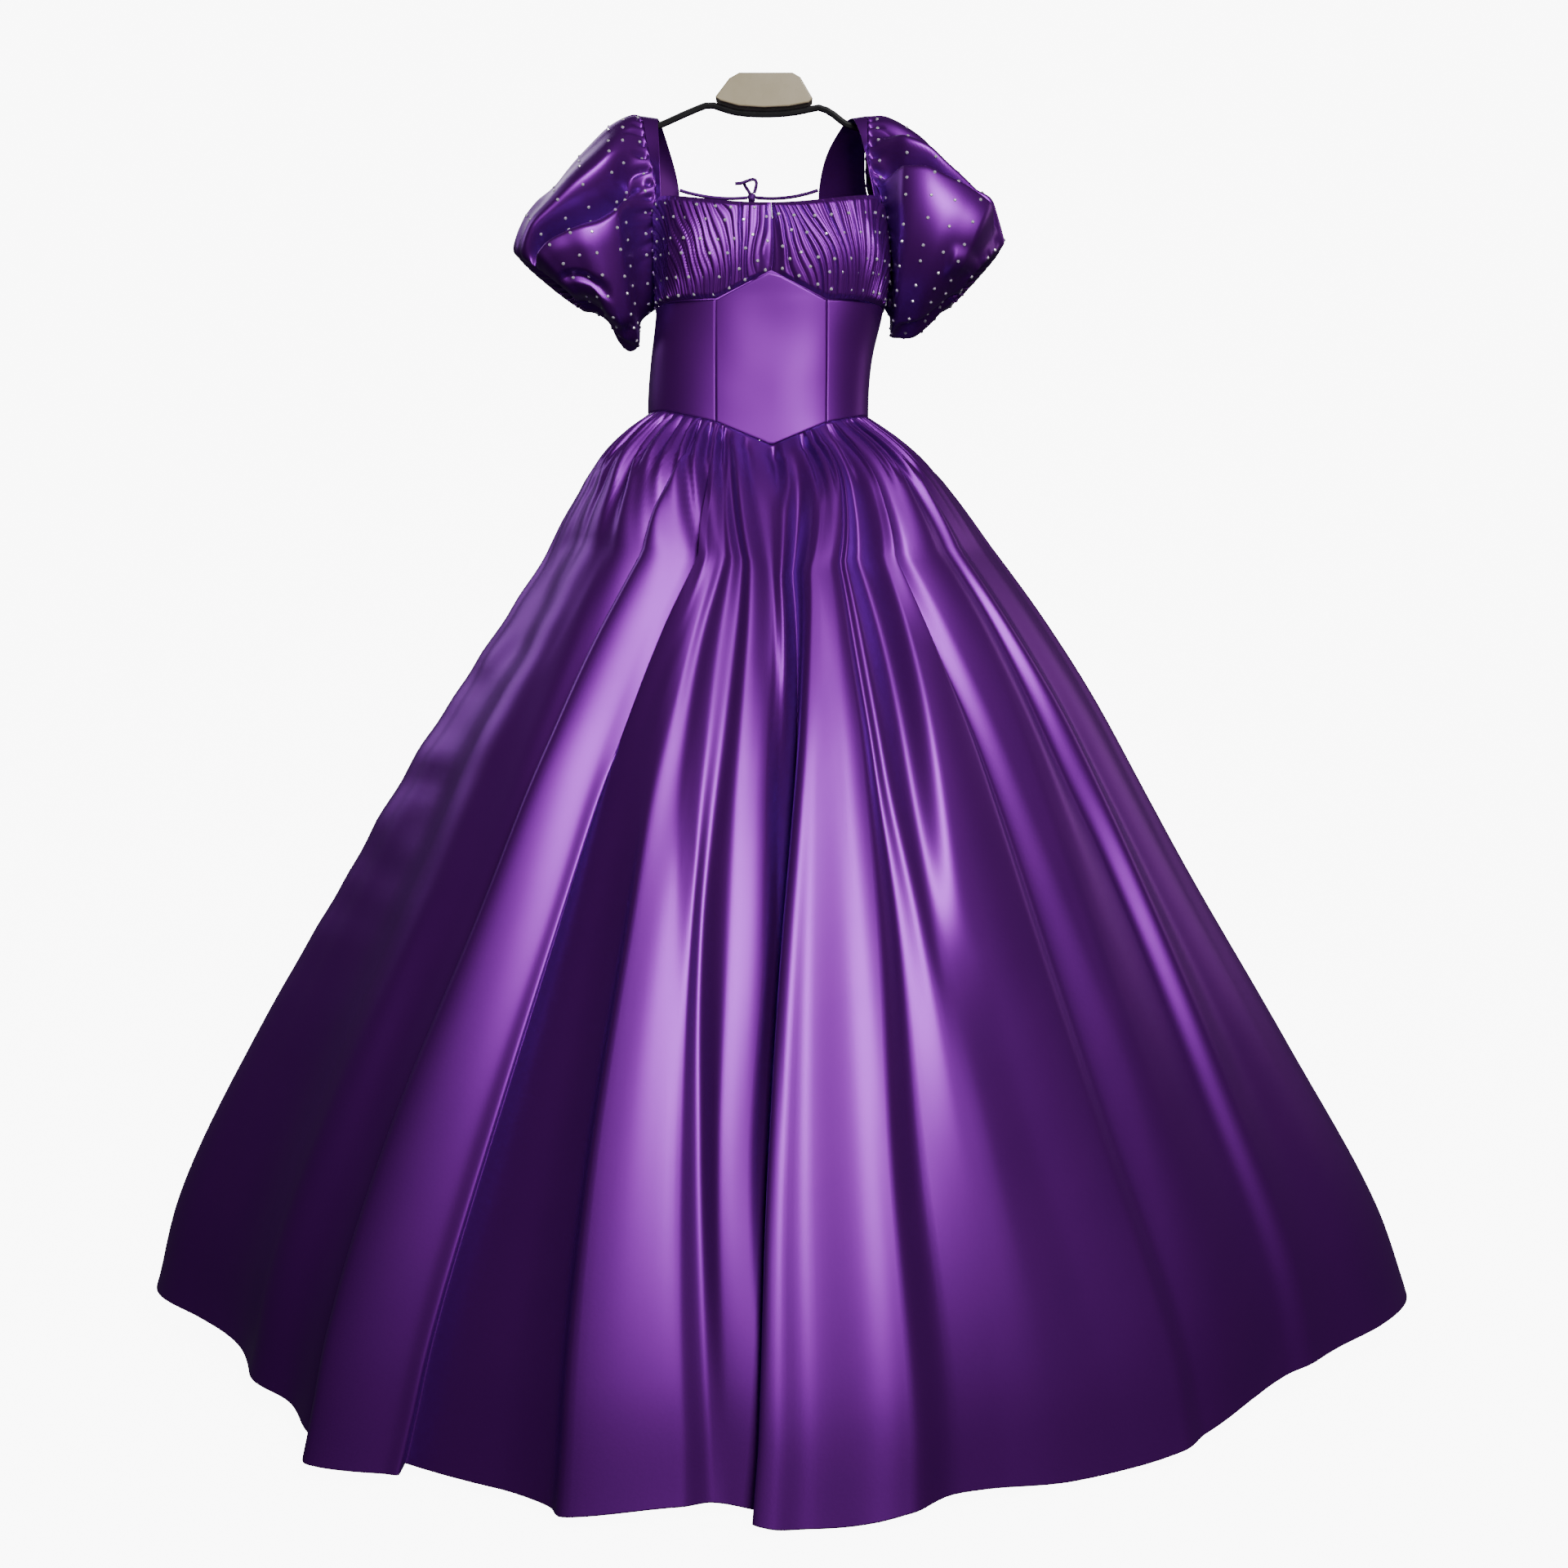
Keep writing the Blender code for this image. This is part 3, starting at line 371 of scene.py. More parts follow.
def round_cord(name, route, replaces):
    """A round cord along a route, as a curve with filled ends."""
    curve = bpy.data.curves.new(name, "CURVE")
    curve.dimensions = "3D"
    spline = curve.splines.new("POLY")
    spline.points.add(len(route) - 1)
    for point, place in zip(spline.points, route, strict=True):
        point.co = (*place, 1)
    curve.bevel_depth = CORD / 2
    curve.bevel_resolution = CORD_ROUNDNESS
    curve.use_fill_caps = True
    curve.materials.append(TIE_SATIN)
    piece = bpy.data.objects.new(name, curve)
    bpy.context.scene.collection.objects.link(piece)
    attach(piece, "root")
    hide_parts(replaces)
    return piece


def route_length(route):
    return float(np.linalg.norm(np.diff(route, axis=0), axis=1).sum())


# %% The neck edge of the straps
Strap = namedtuple("Strap", "turn right left y z")
STRAP = (
    Strap(-90.0, 0.1030, 0.0590, 0.0800, -0.1366),
    Strap(-62.0, 0.1040, 0.0600, 0.0720, -0.1050),
    Strap(-35.0, 0.1110, 0.0680, 0.0480, -0.0740),
    Strap(-12.0, 0.1190, 0.0850, 0.0150, -0.0510),
    Strap(0.0, 0.1215, 0.0920, -0.0010, -0.0478),
    Strap(25.0, 0.1205, 0.0980, -0.0220, -0.0570),
    Strap(60.0, 0.1180, 0.1090, -0.0440, -0.0960),
    Strap(90.0, 0.1160, 0.1180, -0.0570, -0.1466),
)
STRAP_END = 89.6


def strap_neck(turn, side):
    """The neck edge of a strap at a turn round the armhole."""
    x = side * smooth(STRAP, "left" if side > 0 else "right", "turn", turn)
    return np.stack([x, smooth(STRAP, "y", "turn", turn), smooth(STRAP, "z", "turn", turn)], axis=-1)


# %% Routes of the tie
CORD_STEP = 0.005
BOW_STEP = 0.003
TIE_TURN = -66.0
TIE_GAP = 0.0018
TIE_PLACES = 7
TIE_SAG = 0.004
SEAM = 0.0004
KNOT = Vector((-0.019, 0.098, -0.1130))
KNOT_SIZE = Vector((0.0050, 0.0045, 0.0055))
KNOT_SEGMENTS, KNOT_RINGS = 28, 16
KNOT_LUMP, KNOT_TWIST = 0.10, 5.0
BOW = (
    Vector((-0.0161, 0.0976, -0.1080)),
    Vector((-0.0140, 0.0965, -0.1010)),
    Vector((-0.0135, 0.0955, -0.0960)),
    Vector((-0.0165, 0.0950, -0.0925)),
    Vector((-0.0240, 0.0950, -0.0945)),
    Vector((-0.0315, 0.0950, -0.0970)),
    Vector((-0.0385, 0.0950, -0.0975)),
)
TAIL = (
    Vector((-0.0212, 0.0994, -0.1083)),
    Vector((-0.0232, 0.1008, -0.1042)),
    Vector((-0.0265, 0.1030, -0.0990)),
    Vector((-0.0290, 0.1040, -0.0935)),
)


def tie_route(side):
    """From the edge of a strap at the back neckline to the knot, hanging a little slack."""
    edge = Vector(strap_neck(np.array(TIE_TURN), side))
    start = edge + (KNOT - edge).normalized() * TIE_GAP
    end = KNOT + Vector((side * (KNOT_SIZE.x + SEAM), 0, 0))
    shares = np.linspace(0, 1, TIE_PLACES)
    return [start.lerp(end, t) - Vector((0, 0, TIE_SAG * 4 * t * (1 - t))) for t in shares]


# %% The cords of the tie
# The cord's two colours. The strand bands mix them as painted sheen on each strand and painted shade in the
# grooves between, and a worn noise mixes them at random.
TIE_GROOVE_SHADE_AND_WEAR, TIE_STRAND_SHEEN_AND_WEAR = (0.09, 0.010, 0.19, 1), (0.20, 0.025, 0.36, 1)
TIE_STRANDS, TIE_WEAR = 260.0, 900.0

twist = Finish("tie_cord")
cord_place = twist.place()
strand_sockets = {"Vector": cord_place, "Scale": TIE_STRANDS}
strands = twist.node("ShaderNodeTexWave", {"bands_direction": "DIAGONAL"}, strand_sockets)
worn = twist.noise(cord_place, TIE_WEAR)
TIE_SATIN = twist.surface(
    # Painted sheen and painted groove shade along the strands, mixed with a random worn tone
    Base_Color=twist.blend(strands * 0.5 + worn * 0.5, TIE_GROOVE_SHADE_AND_WEAR, TIE_STRAND_SHEEN_AND_WEAR),
    Metallic=0.5,
    Roughness=0.45 + 0.1 * worn,
    Normal=twist.bump(strands, 0.0004, 0.6),
)

routes = {side: route_through(tie_route(side), CORD_STEP) for side in (-1, 1)}
tie_right = round_cord("tie_cord_right", routes[-1], "tie_right")
tie_left = round_cord("tie_cord_left", routes[1], "tie_left")
loop_route = route_through(BOW, BOW_STEP)
tie_loop = round_cord("tie_loop", loop_route, "tie_bow")
tail_route = route_through(TAIL, BOW_STEP)
tie_tail = round_cord("tie_tail", tail_route, "tie_end")

knot = bmesh.new()
bmesh.ops.create_uvsphere(knot, u_segments=KNOT_SEGMENTS, v_segments=KNOT_RINGS, radius=1)
for vertex in knot.verts:
    turn = math.atan2(vertex.co.y, vertex.co.x)
    vertex.co *= 1 + KNOT_LUMP * math.sin(2 * turn + KNOT_TWIST * vertex.co.z)
bmesh.ops.scale(knot, vec=KNOT_SIZE, verts=knot.verts)
bmesh.ops.translate(knot, vec=KNOT, verts=knot.verts)
tie_knot = mesh_object("tie_knot_wound", knot, TIE_SATIN)
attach(tie_knot, "root")
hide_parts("tie_knot")

print("cords", [round(route_length(route), 4) for route in (routes[-1], routes[1], loop_route, tail_route)])

# %% [markdown]
# ## The bodice's shape
#
# A fitted bodice is a rounded box rather than a tube: flat in front and behind, and tightly curved at the
# sides. A superellipse gives that with one number for its squareness. It is squarer here than in the
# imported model, with the same widths and depths. Azimuth is measured round the body in degrees: 0 at the
# front, 90 at +X and 180 at the back.

# %% Sizes of the bodice
WALL = 0.0012
FRONT, SIDE, BACK = 0.0, 90.0, 180.0
SIDES = (("right", -1), ("left", 1))
SIDE_SEAM = 0.02

Lean = namedtuple("Lean", "z x")
LEAN = (
    Lean(-0.147, 0.0015),
    Lean(-0.212, 0.006),
    Lean(-0.260, 0.003),
    Lean(-0.320, -0.007),
    Lean(-0.390, -0.010),
    Lean(-0.470, -0.0015),
    Lean(-0.600, 0.008),
    Lean(-0.800, 0.003),
    Lean(-1.100, 0.003),
    Lean(-1.330, 0.013),
)

Girth = namedtuple("Girth", "z width front back")
BODICE = (
    Girth(-0.420, 0.1235, 0.097, 0.090),
    Girth(-0.380, 0.1235, 0.097, 0.090),
    Girth(-0.307, 0.1240, 0.101, 0.093),
    Girth(-0.260, 0.1265, 0.107, 0.096),
    Girth(-0.212, 0.1290, 0.114, 0.098),
    Girth(-0.147, 0.1260, 0.112, 0.098),
)
BODICE_SQUARENESS = 3.3
FRONT_LINE = 0.005
BACK_LINE = -0.022
PRINCESS = 0.060


# %% Points on the bodice
def lean(z):
    return smooth(LEAN, "x", "z", z)


def bodice_point(azimuth, z, rise=0.0):
    """The bodice's outer side at an azimuth and height, moved out by rise."""
    turn = np.radians(azimuth)
    deep = np.where(np.cos(turn) > 0, smooth(BODICE, "front", "z", z), smooth(BODICE, "back", "z", z))
    x = smooth(BODICE, "width", "z", z) * power(np.sin(turn), 2 / BODICE_SQUARENESS)
    y = -deep * power(np.cos(turn), 2 / BODICE_SQUARENESS)
    reach = np.hypot(x, y)
    return np.stack([lean(z) + x * (1 + rise / reach), y * (1 + rise / reach), z + 0 * x], axis=-1)


def azimuth_at_x(x, z, front=True):
    """The azimuth where the bodice has this x at this height, on its front or its back."""
    share = np.clip((x - lean(z)) / smooth(BODICE, "width", "z", z), -1, 1)
    turn = np.degrees(np.arcsin(power(share, BODICE_SQUARENESS / 2)))
    return turn if front else 180.0 - turn


def azimuth_at_y(y, z, side):
    """The azimuth where the bodice has this y at this height, on the side given as -1 or 1."""
    deep = np.where(y < 0, smooth(BODICE, "front", "z", z), smooth(BODICE, "back", "z", z))
    share = power(np.clip(-y / deep, -1, 1), BODICE_SQUARENESS / 2)
    return side * np.degrees(np.arccos(share))


# %% [markdown]
# The seams that cross the bodice are given by their height at an x: the neckline dips a little, the seam
# under the bust comes to a peak, and the waist seam to a point.

# %% Seams across the bodice
NECK_CORNER = Vector((0.1165, 0.0, -0.147))
NECK_DIP = 0.015
UNDERBUST = -0.262
UNDERBUST_PEAK = -0.233
PEAK_REACH = 0.058
WAIST_SIDE = -0.377
WAIST_PRINCESS = -0.391
WAIST_TIP = -0.416
WAIST_REACH = 0.118
BACK_NECK = -0.137
SEAM_PASSES = 6


def neckline(x):
    return NECK_CORNER.z - NECK_DIP * (1 - (x / NECK_CORNER.x) ** 2)


def underbust(x):
    return UNDERBUST_PEAK + (UNDERBUST - UNDERBUST_PEAK) * ramp(np.abs(x - FRONT_LINE), 0, PEAK_REACH)


def waist_front(x):
    """The waist seam across the front: a slope to the princess seams, then a point."""
    off = np.abs(x - FRONT_LINE)
    tip = WAIST_TIP + (WAIST_PRINCESS - WAIST_TIP) * ramp(off, 0, PRINCESS)
    return tip + (WAIST_SIDE - WAIST_PRINCESS) * ramp(off, PRINCESS, WAIST_REACH)


def seam_height(seam, azimuth_at, guess):
    """The height where a line up the bodice, given as azimuth by height, meets a seam given by x."""
    z = guess
    for _ in range(SEAM_PASSES):
        z = seam(bodice_point(azimuth_at(z), z)[..., 0])
    return z


def waist(azimuth):
    """Height of the waist seam at an azimuth, all round."""
    front = seam_height(waist_front, lambda z: azimuth, WAIST_SIDE + 0 * azimuth)
    return np.where(np.abs(around(azimuth, FRONT)) < SIDE, front, WAIST_SIDE)


# %% [markdown]
# ## Cloth from a grid
#
# Every panel is woven flat, so every panel starts as Blender's own grid. The grid's points are then laid
# on the shape, its map is the distance walked over the cloth, and a Solidify modifier gives it a wall.


# %% A record for the cut of a panel
Cut = namedtuple("Cut", "panel width length area held hangs_from")


# %% [markdown]
# Small clear stones are sewn over the sleeves and the bust, in staggered rows that drift a little. Each is
# a cut cone with a flat table, set on the cloth where the row meets it, and facing as the cloth does.

# %% Stones
STONE_WIDE, STONE_HIGH = 0.0040, 0.0014
STONE_TABLE = 0.55  # width of the flat top over the stone's width
STONE_SIDES = 8
STONE_SINK = 0.0002
STONE_STEP, STONE_ROW = 0.0245, 0.87
STONE_DRIFT = 0.0045
STONE_EDGE = 0.008
STONE_COLD, STONE_WARM = (0.80, 0.84, 0.95, 1), (1.0, 0.97, 0.93, 1)
STONE_TINT = 60.0
TINY = 1e-12
SAME_PLACE = 1e-6

crystal = Finish("crystal")
gem_tint = crystal.noise(crystal.place(), STONE_TINT)
CRYSTAL = crystal.surface(
    Base_Color=crystal.blend(gem_tint, STONE_COLD, STONE_WARM),
    Metallic=0.35,
    Roughness=0.12 + 0.2 * gem_tint,
    Coat_Weight=0.8,
    Coat_Roughness=0.03,
)


# %% Laying a grid on points
def walked(points, axis):
    """The distance walked over the cloth along one axis of its grid."""
    steps = np.linalg.norm(np.diff(points, axis=axis), axis=-1)
    total = np.cumsum(steps, axis=axis)
    return np.insert(total, 0, 0, axis=axis)


def stones_on(name, points, inside, seed):
    """Small cut stones in staggered rows over a grid of points, all in one piece."""
    across, down = walked(points, 1), walked(points, 0)
    middle = down[:, points.shape[1] // 2]
    along_up, along_across = np.gradient(points, axis=0), np.gradient(points, axis=1)
    facing = np.cross(along_across, along_up)
    facing = facing / np.maximum(np.linalg.norm(facing, axis=-1, keepdims=True), TINY)
    outward = np.sum(facing * (points - np.array(inside)), axis=(0, 1, 2)) > 0
    facing = facing if outward else -facing
    draw = random.Random(seed)
    gems = bmesh.new()
    levels = np.arange(STONE_EDGE, middle[-1] - STONE_EDGE, STONE_STEP * STONE_ROW)
    for number, level in enumerate(levels):
        row = int(np.searchsorted(middle, level + draw.uniform(-STONE_DRIFT, STONE_DRIFT)))
        row = min(max(row, 1), len(middle) - 2)
        start = STONE_EDGE + STONE_STEP / 2 * (number % 2)
        for place in np.arange(start, across[row, -1] - STONE_EDGE, STONE_STEP):
            column = int(np.searchsorted(across[row], place + draw.uniform(-STONE_DRIFT, STONE_DRIFT)))
            column = min(max(column, 1), points.shape[1] - 2)
            normal = Vector(facing[row, column])
            turned = normal.to_track_quat("Z", "Y").to_matrix().to_4x4()
            at = Vector(points[row, column]) + normal * (STONE_HIGH / 2 - STONE_SINK)
            bmesh.ops.create_cone(
                gems,
                cap_ends=True,
                segments=STONE_SIDES,
                radius1=STONE_WIDE / 2,
                radius2=STONE_WIDE / 2 * STONE_TABLE,
                depth=STONE_HIGH,
                matrix=Matrix.Translation(at) @ turned,
            )
    print(name, "stones", len(gems.verts) // (2 * STONE_SIDES))
    piece = mesh_object(name, gems, CRYSTAL, shade_smooth=False)
    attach(piece, "root")
    return piece


def cloth(name, points, inside, round_tube=False):
    """A wall of cloth whose outer side lies on the points, facing away from the place inside."""
    rows, columns = points.shape[:2]
    grid = bmesh.new()
    bmesh.ops.create_grid(grid, x_segments=columns - 1, y_segments=rows - 1, size=1)
    chart = grid.loops.layers.uv.new(CLOTH_MAP)
    across = walked(points, 1).ravel()
    down = walked(points, 0).ravel()
    for vertex, place in zip(grid.verts, points.reshape(-1, 3), strict=True):
        vertex.co = place
    for face in grid.faces:
        for loop in face.loops:
            loop[chart].uv = (across[loop.vert.index], down[loop.vert.index])
    if round_tube:
        bmesh.ops.remove_doubles(grid, verts=grid.verts, dist=SAME_PLACE)
    grid.normal_update()
    facing = sum(face.normal.dot(face.calc_center_median() - inside) for face in grid.faces)
    if facing < 0:
        bmesh.ops.reverse_faces(grid, faces=grid.faces)
    piece = mesh_object(f"{name}_satin", grid, SATIN)
    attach(piece, "root")
    solid = piece.modifiers.new("wall", "SOLIDIFY")
    solid.thickness = WALL
    solid.offset = -1
    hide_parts(name)
    area = sum(face.area for face in piece.data.polygons)
    print(name, "quads", (rows - 1) * (columns - 1), "area", round(area, 4))
    return piece


# %% [markdown]
# ## The plain panels of the bodice
#
# Five panels sit between bust and waist: a pointed one in front, two at its sides and two behind. A sewn
# edge is turned in, so it dips at the seam and catches a dark line. The panels here do the same: their
# points sink a little over the last two millimetres of cloth, and the grid is finer there.

# %% Panels between two seams
EDGE_DIP = 0.0004
EDGE_WIDTH = 0.0022
PANEL_CROWD, STRAP_CROWD, BACK_CROWD, CUP_CROWD = 0.7, 0.6, 0.6, 0.5
PANEL_WAVE, PANEL_WAVE_SIZE, PANEL_SEED = 0.0006, 0.05, 3.1
BODICE_MIDDLE = Vector((0, 0, -0.32))


def edge_dip(points):
    """How far a panel's points sink near its four edges."""
    across = walked(points, 1)
    down = walked(points, 0)
    from_edge = np.minimum(
        np.minimum(across, across[:, -1:] - across),
        np.minimum(down, down[-1:] - down),
    )
    return -EDGE_DIP * (1 - ease(from_edge, 0, EDGE_WIDTH)) ** 2


def edged(count, crowd):
    """Places from 0 to 1 that crowd together near both ends."""
    t = np.linspace(0, 1, count + 1)
    return t - crowd * np.sin(2 * np.pi * t) / (2 * np.pi)


def panel(name, left_edge, right_edge, columns, rows):
    """A bodice panel between two edges that give the azimuth at a height, from waist to underbust."""
    across = edged(columns, PANEL_CROWD)
    up = edged(rows, PANEL_CROWD)[:, None]

    def line(z):
        return left_edge(z) + (right_edge(z) - left_edge(z)) * across

    z_low = seam_height(waist_front, line, WAIST_SIDE + 0 * across) + SEAM / 2
    z_high = seam_height(underbust, line, UNDERBUST + 0 * across) - SEAM / 2
    z = z_low + (z_high - z_low) * up
    azimuth = line(z)
    flat = bodice_point(azimuth, z)
    soft = PANEL_WAVE * ripples(flat, PANEL_WAVE_SIZE, PANEL_SEED)
    return cloth(name, bodice_point(azimuth, z, edge_dip(flat) + soft), BODICE_MIDDLE)


half = PRINCESS - SEAM / 2
panel(
    "bodice_front",
    lambda z: azimuth_at_x(FRONT_LINE - half, z),
    lambda z: azimuth_at_x(FRONT_LINE + half, z),
    columns=64,
    rows=56,
)
for word, side in SIDES:
    panel(
        f"bodice_side_{word}",
        lambda z: azimuth_at_x(FRONT_LINE + side * (PRINCESS + SEAM / 2), z),
        lambda z: side * (SIDE - SIDE_SEAM / 2) + 0 * z,
        columns=48,
        rows=52,
    )

# %% [markdown]
# The armhole is an upright oval. Below the shoulder it lies on the bodice, and above it the strap carries
# it. The backs, the straps, the cups and the sleeves all meet along it.

# %% The armhole
ARMHOLE_Z = -0.150
ARMHOLE_HIGH = 0.105
ARMHOLE_DEEP = 0.046
ARMHOLE_BLEND = 0.03

Shoulder = namedtuple("Shoulder", "z right left")
SHOULDER = (
    Shoulder(-0.150, 0.1185, 0.1215),
    Shoulder(-0.113, 0.1245, 0.1120),
    Shoulder(-0.086, 0.1310, 0.1105),
    Shoulder(-0.045, 0.1390, 0.1110),
)


def armhole(turn, side):
    """The armhole's edge: turn is 0 at the top, 90 at the front and 180 under the arm."""
    y = -ARMHOLE_DEEP * np.sin(np.radians(turn))
    z = ARMHOLE_Z + ARMHOLE_HIGH * np.cos(np.radians(turn))
    shoulder = side * smooth(SHOULDER, "left" if side > 0 else "right", "z", z)
    body = bodice_point(azimuth_at_y(y, z, side), z)[..., 0]
    low = 1 - ramp(z, ARMHOLE_Z, ARMHOLE_Z + ARMHOLE_BLEND)
    return np.stack([shoulder * (1 - low) + body * low, y, z], axis=-1)


# %% Straps
STRAP_ROWS, STRAP_COLUMNS = 90, 18
STRAP_UNDER = Vector((0.11, 0.0, -0.14))

for word, side in SIDES:
    turn = np.linspace(-STRAP_END, STRAP_END, STRAP_ROWS + 1)[:, None]
    across = edged(STRAP_COLUMNS, STRAP_CROWD)[None, :, None]
    points = armhole(turn, side) + (strap_neck(turn, side) - armhole(turn, side)) * across
    cloth(f"strap_{word}", points, STRAP_UNDER * Vector((side, 1, 1)))

# %% Backs of the bodice
BACK_HOLE, BACK_FOOT = 0.42, 0.52
BACK_TURNS = (184.0, 269.5)
BACK_TURN_IN = 1.5
BACK_PANEL_COLUMNS, BACK_PANEL_ROWS = 80, 56
BACK_MIDDLE = Vector((0, 0, -0.26))

for word, side in SIDES:
    share = np.linspace(0, 1, BACK_PANEL_COLUMNS + 1)
    hole = armhole(np.interp(share, (0, BACK_HOLE), BACK_TURNS), side)
    strap_foot = STRAP[0].left if side > 0 else STRAP[0].right
    neck_x = np.interp(share, (BACK_FOOT, 1), (side * strap_foot, BACK_LINE + side * SEAM / 2))
    neck_azimuth = azimuth_at_x(neck_x, BACK_NECK, front=False)
    hole_azimuth = np.abs(azimuth_at_y(hole[:, 1], hole[:, 2], side))
    hole_azimuth = hole_azimuth if side > 0 else 360.0 - hole_azimuth
    on_neck = ramp(share, BACK_HOLE, BACK_FOOT)
    azimuth_top = hole_azimuth * (1 - on_neck) + neck_azimuth * on_neck
    z_top = hole[:, 2] * (1 - on_neck) + BACK_NECK * on_neck
    side_azimuth = (SIDE if side > 0 else BACK + SIDE) + side * SIDE_SEAM / 2
    up = edged(BACK_PANEL_ROWS, BACK_CROWD)[:, None]
    z_low = WAIST_SIDE + SEAM / 2
    z = z_low + (z_top - z_low) * up
    closing = azimuth_at_x(BACK_LINE + side * SEAM / 2, z, front=False)
    low_azimuth = side_azimuth + (closing - side_azimuth) * share
    azimuth = low_azimuth + (azimuth_top - low_azimuth) * up**BACK_TURN_IN
    azimuth[:, -1] = closing[:, 0]
    dip = edge_dip(bodice_point(azimuth, z))
    cloth(f"bodice_back_{word}", bodice_point(azimuth, z, dip), BACK_MIDDLE)

# %% [markdown]
# ## The ruched bust
#
# Each cup is a wide piece of satin, gathered by hand into flat pleats that cross it on a slant and are
# stitched down. Between two pleats lies a narrow, sharp crease. The table gives the slant along each cup,
# and the creases wander a little, are deepest at different heights and differ in depth, because no two
# are alike.

# %% The cups
CUP_NECK, CUP_FLAT, CUP_FOOT = 0.66, 0.52, 0.72
CUP_TURNS = (90.5, 176.0)
CUP_RISE = 0.011
CUP_AZIMUTH = 31.0
CUP_SPREAD = 27.0
CUP_CURVE = 2.5
CUP_COLUMNS, CUP_ROWS = 360, 52
CUP_INSIDE = Vector((0, 0, -0.22))
CUP_SEED = 5
PLEATS = 30
PLEAT_DEPTH = 0.0042
PLEAT_WANDER = 0.90
PLEAT_WAVES, PLEAT_DRIFT = 7.0, 2.2
PLEAT_SHARP = 3
PLEAT_LEAN = 0.8
CUP_HEM, CUP_END, CUP_FADE = 0.05, 0.02, 0.80

Slant = namedtuple("Slant", "share right left")
SLANT = (
    Slant(0.0, 0.02, 0.00),
    Slant(0.15, 0.14, -0.07),
    Slant(0.30, 0.30, 0.00),
    Slant(0.60, 0.40, 0.20),
    Slant(1.0, 0.34, 0.28),
)


def pleat_rise(share, up, word, seed):
    """Flat pleats with narrow creases between them, over a cup."""
    slant = smooth(SLANT, word, "share", share)
    drift = [
        [noise.noise(Vector((PLEAT_WAVES * s, PLEAT_DRIFT * u, seed))) for s in share.ravel()]
        for u in up.ravel()
    ]
    count = (share + slant * (0.5 - up)) * PLEATS + PLEAT_WANDER * np.array(drift)
    crease = np.abs(2 * (count % 1.0) - 1) ** PLEAT_SHARP
    number = np.floor(count + 0.5)
    # The factors of number are uneven, so that no pattern shows
    deep = 0.72 + 0.28 * np.sin(number * 2.4 + seed)
    middle = 0.5 + 0.45 * np.sin(number * 1.7 + seed)
    fade = 1 - 0.75 * np.abs(up - middle)
    lean_over = PLEAT_LEAN * (count % 1.0 - 0.5) * np.sin(number * 3.3)
    return PLEAT_DEPTH * (1 - crease * deep * fade + lean_over * (1 - crease))


def make_cup(name, word, side, seed):
    """One ruched cup of the bust, from the middle of the front to the armhole."""
    share = np.linspace(0, 1, CUP_COLUMNS + 1)
    middle = FRONT_LINE + side * SEAM / 8
    top_x = np.interp(share, (0, CUP_NECK), (middle, side * NECK_CORNER.x))
    hole = armhole(np.interp(share, (CUP_FOOT, 1), CUP_TURNS), side)
    on_hole = ramp(share, CUP_NECK, CUP_FOOT)
    neck_azimuth = azimuth_at_x(top_x, neckline(top_x))
    hole_azimuth = azimuth_at_y(hole[:, 1], hole[:, 2], side)
    azimuth_top = neck_azimuth * (1 - on_hole) + hole_azimuth * on_hole
    z_top = neckline(top_x) * (1 - on_hole) + hole[:, 2] * on_hole
    low_azimuth = azimuth_top[0] + (azimuth_top[-1] - azimuth_top[0]) * share
    low_azimuth[0] = azimuth_at_x(middle, UNDERBUST_PEAK)
    z_low = seam_height(underbust, lambda z: low_azimuth, UNDERBUST + 0 * share) + SEAM / 2
    up = edged(CUP_ROWS, CUP_CROWD)[:, None]
    azimuth = low_azimuth + (azimuth_top - low_azimuth) * up
    z = z_low + (z_top - z_low) * up
    swell = CUP_RISE * np.exp(-(((np.abs(azimuth) - CUP_AZIMUTH) / CUP_SPREAD) ** 2))
    swell = swell * np.cos(CUP_CURVE * (up - 0.5)) * (1 - ramp(share, CUP_FLAT, CUP_FOOT))
    edges = ease(up, 0, CUP_HEM) * ease(1 - up, 0, CUP_HEM)
    ends = ease(share, 0, CUP_END) * (1 - ramp(share, CUP_FADE, 1)) ** 2
    rise = swell + pleat_rise(share, up, word, seed) * edges * ends
    points = bodice_point(azimuth, z, rise)
    gems = stones_on(f"{name}_stones", points, CUP_INSIDE, CUP_SEED + side)
    return cloth(name, points, CUP_INSIDE)


make_cup("bust_right", "right", -1, seed=1.7)
make_cup("bust_left", "left", 1, seed=4.2)

# %% [markdown]
# ## The skirt
#
# The skirt is a cone of satin, gathered to the waist seam and standing out as if something held it from
# underneath. A point on it is known by its azimuth and its drop, which is 0 at the waist and 1 at the
# hem. Folds move it outwards from a smooth cone, whose reach and hem the next two tables give.

# %% Reach of the skirt
Reach = namedtuple("Reach", "drop side front back")
SKIRT = (
    Reach(0.000, 0.1235, 0.0970, 0.0900),
    Reach(0.020, 0.1500, 0.1150, 0.1120),
    Reach(0.047, 0.1790, 0.1370, 0.1400),
    Reach(0.095, 0.2130, 0.1680, 0.1780),
    Reach(0.144, 0.2450, 0.1980, 0.2120),
    Reach(0.239, 0.3070, 0.2500, 0.2680),
    Reach(0.336, 0.3680, 0.3020, 0.3220),
    Reach(0.526, 0.4730, 0.3940, 0.4180),
    Reach(0.714, 0.5790, 0.4780, 0.5020),
    Reach(0.897, 0.6720, 0.5500, 0.5780),
    Reach(1.000, 0.7030, 0.5800, 0.6100),
)
SKIRT_ROUND = 0.15
TIP_ROOM = 0.0003
TIP_AZIMUTH = 5.0
TIP_SPREAD = 5.0

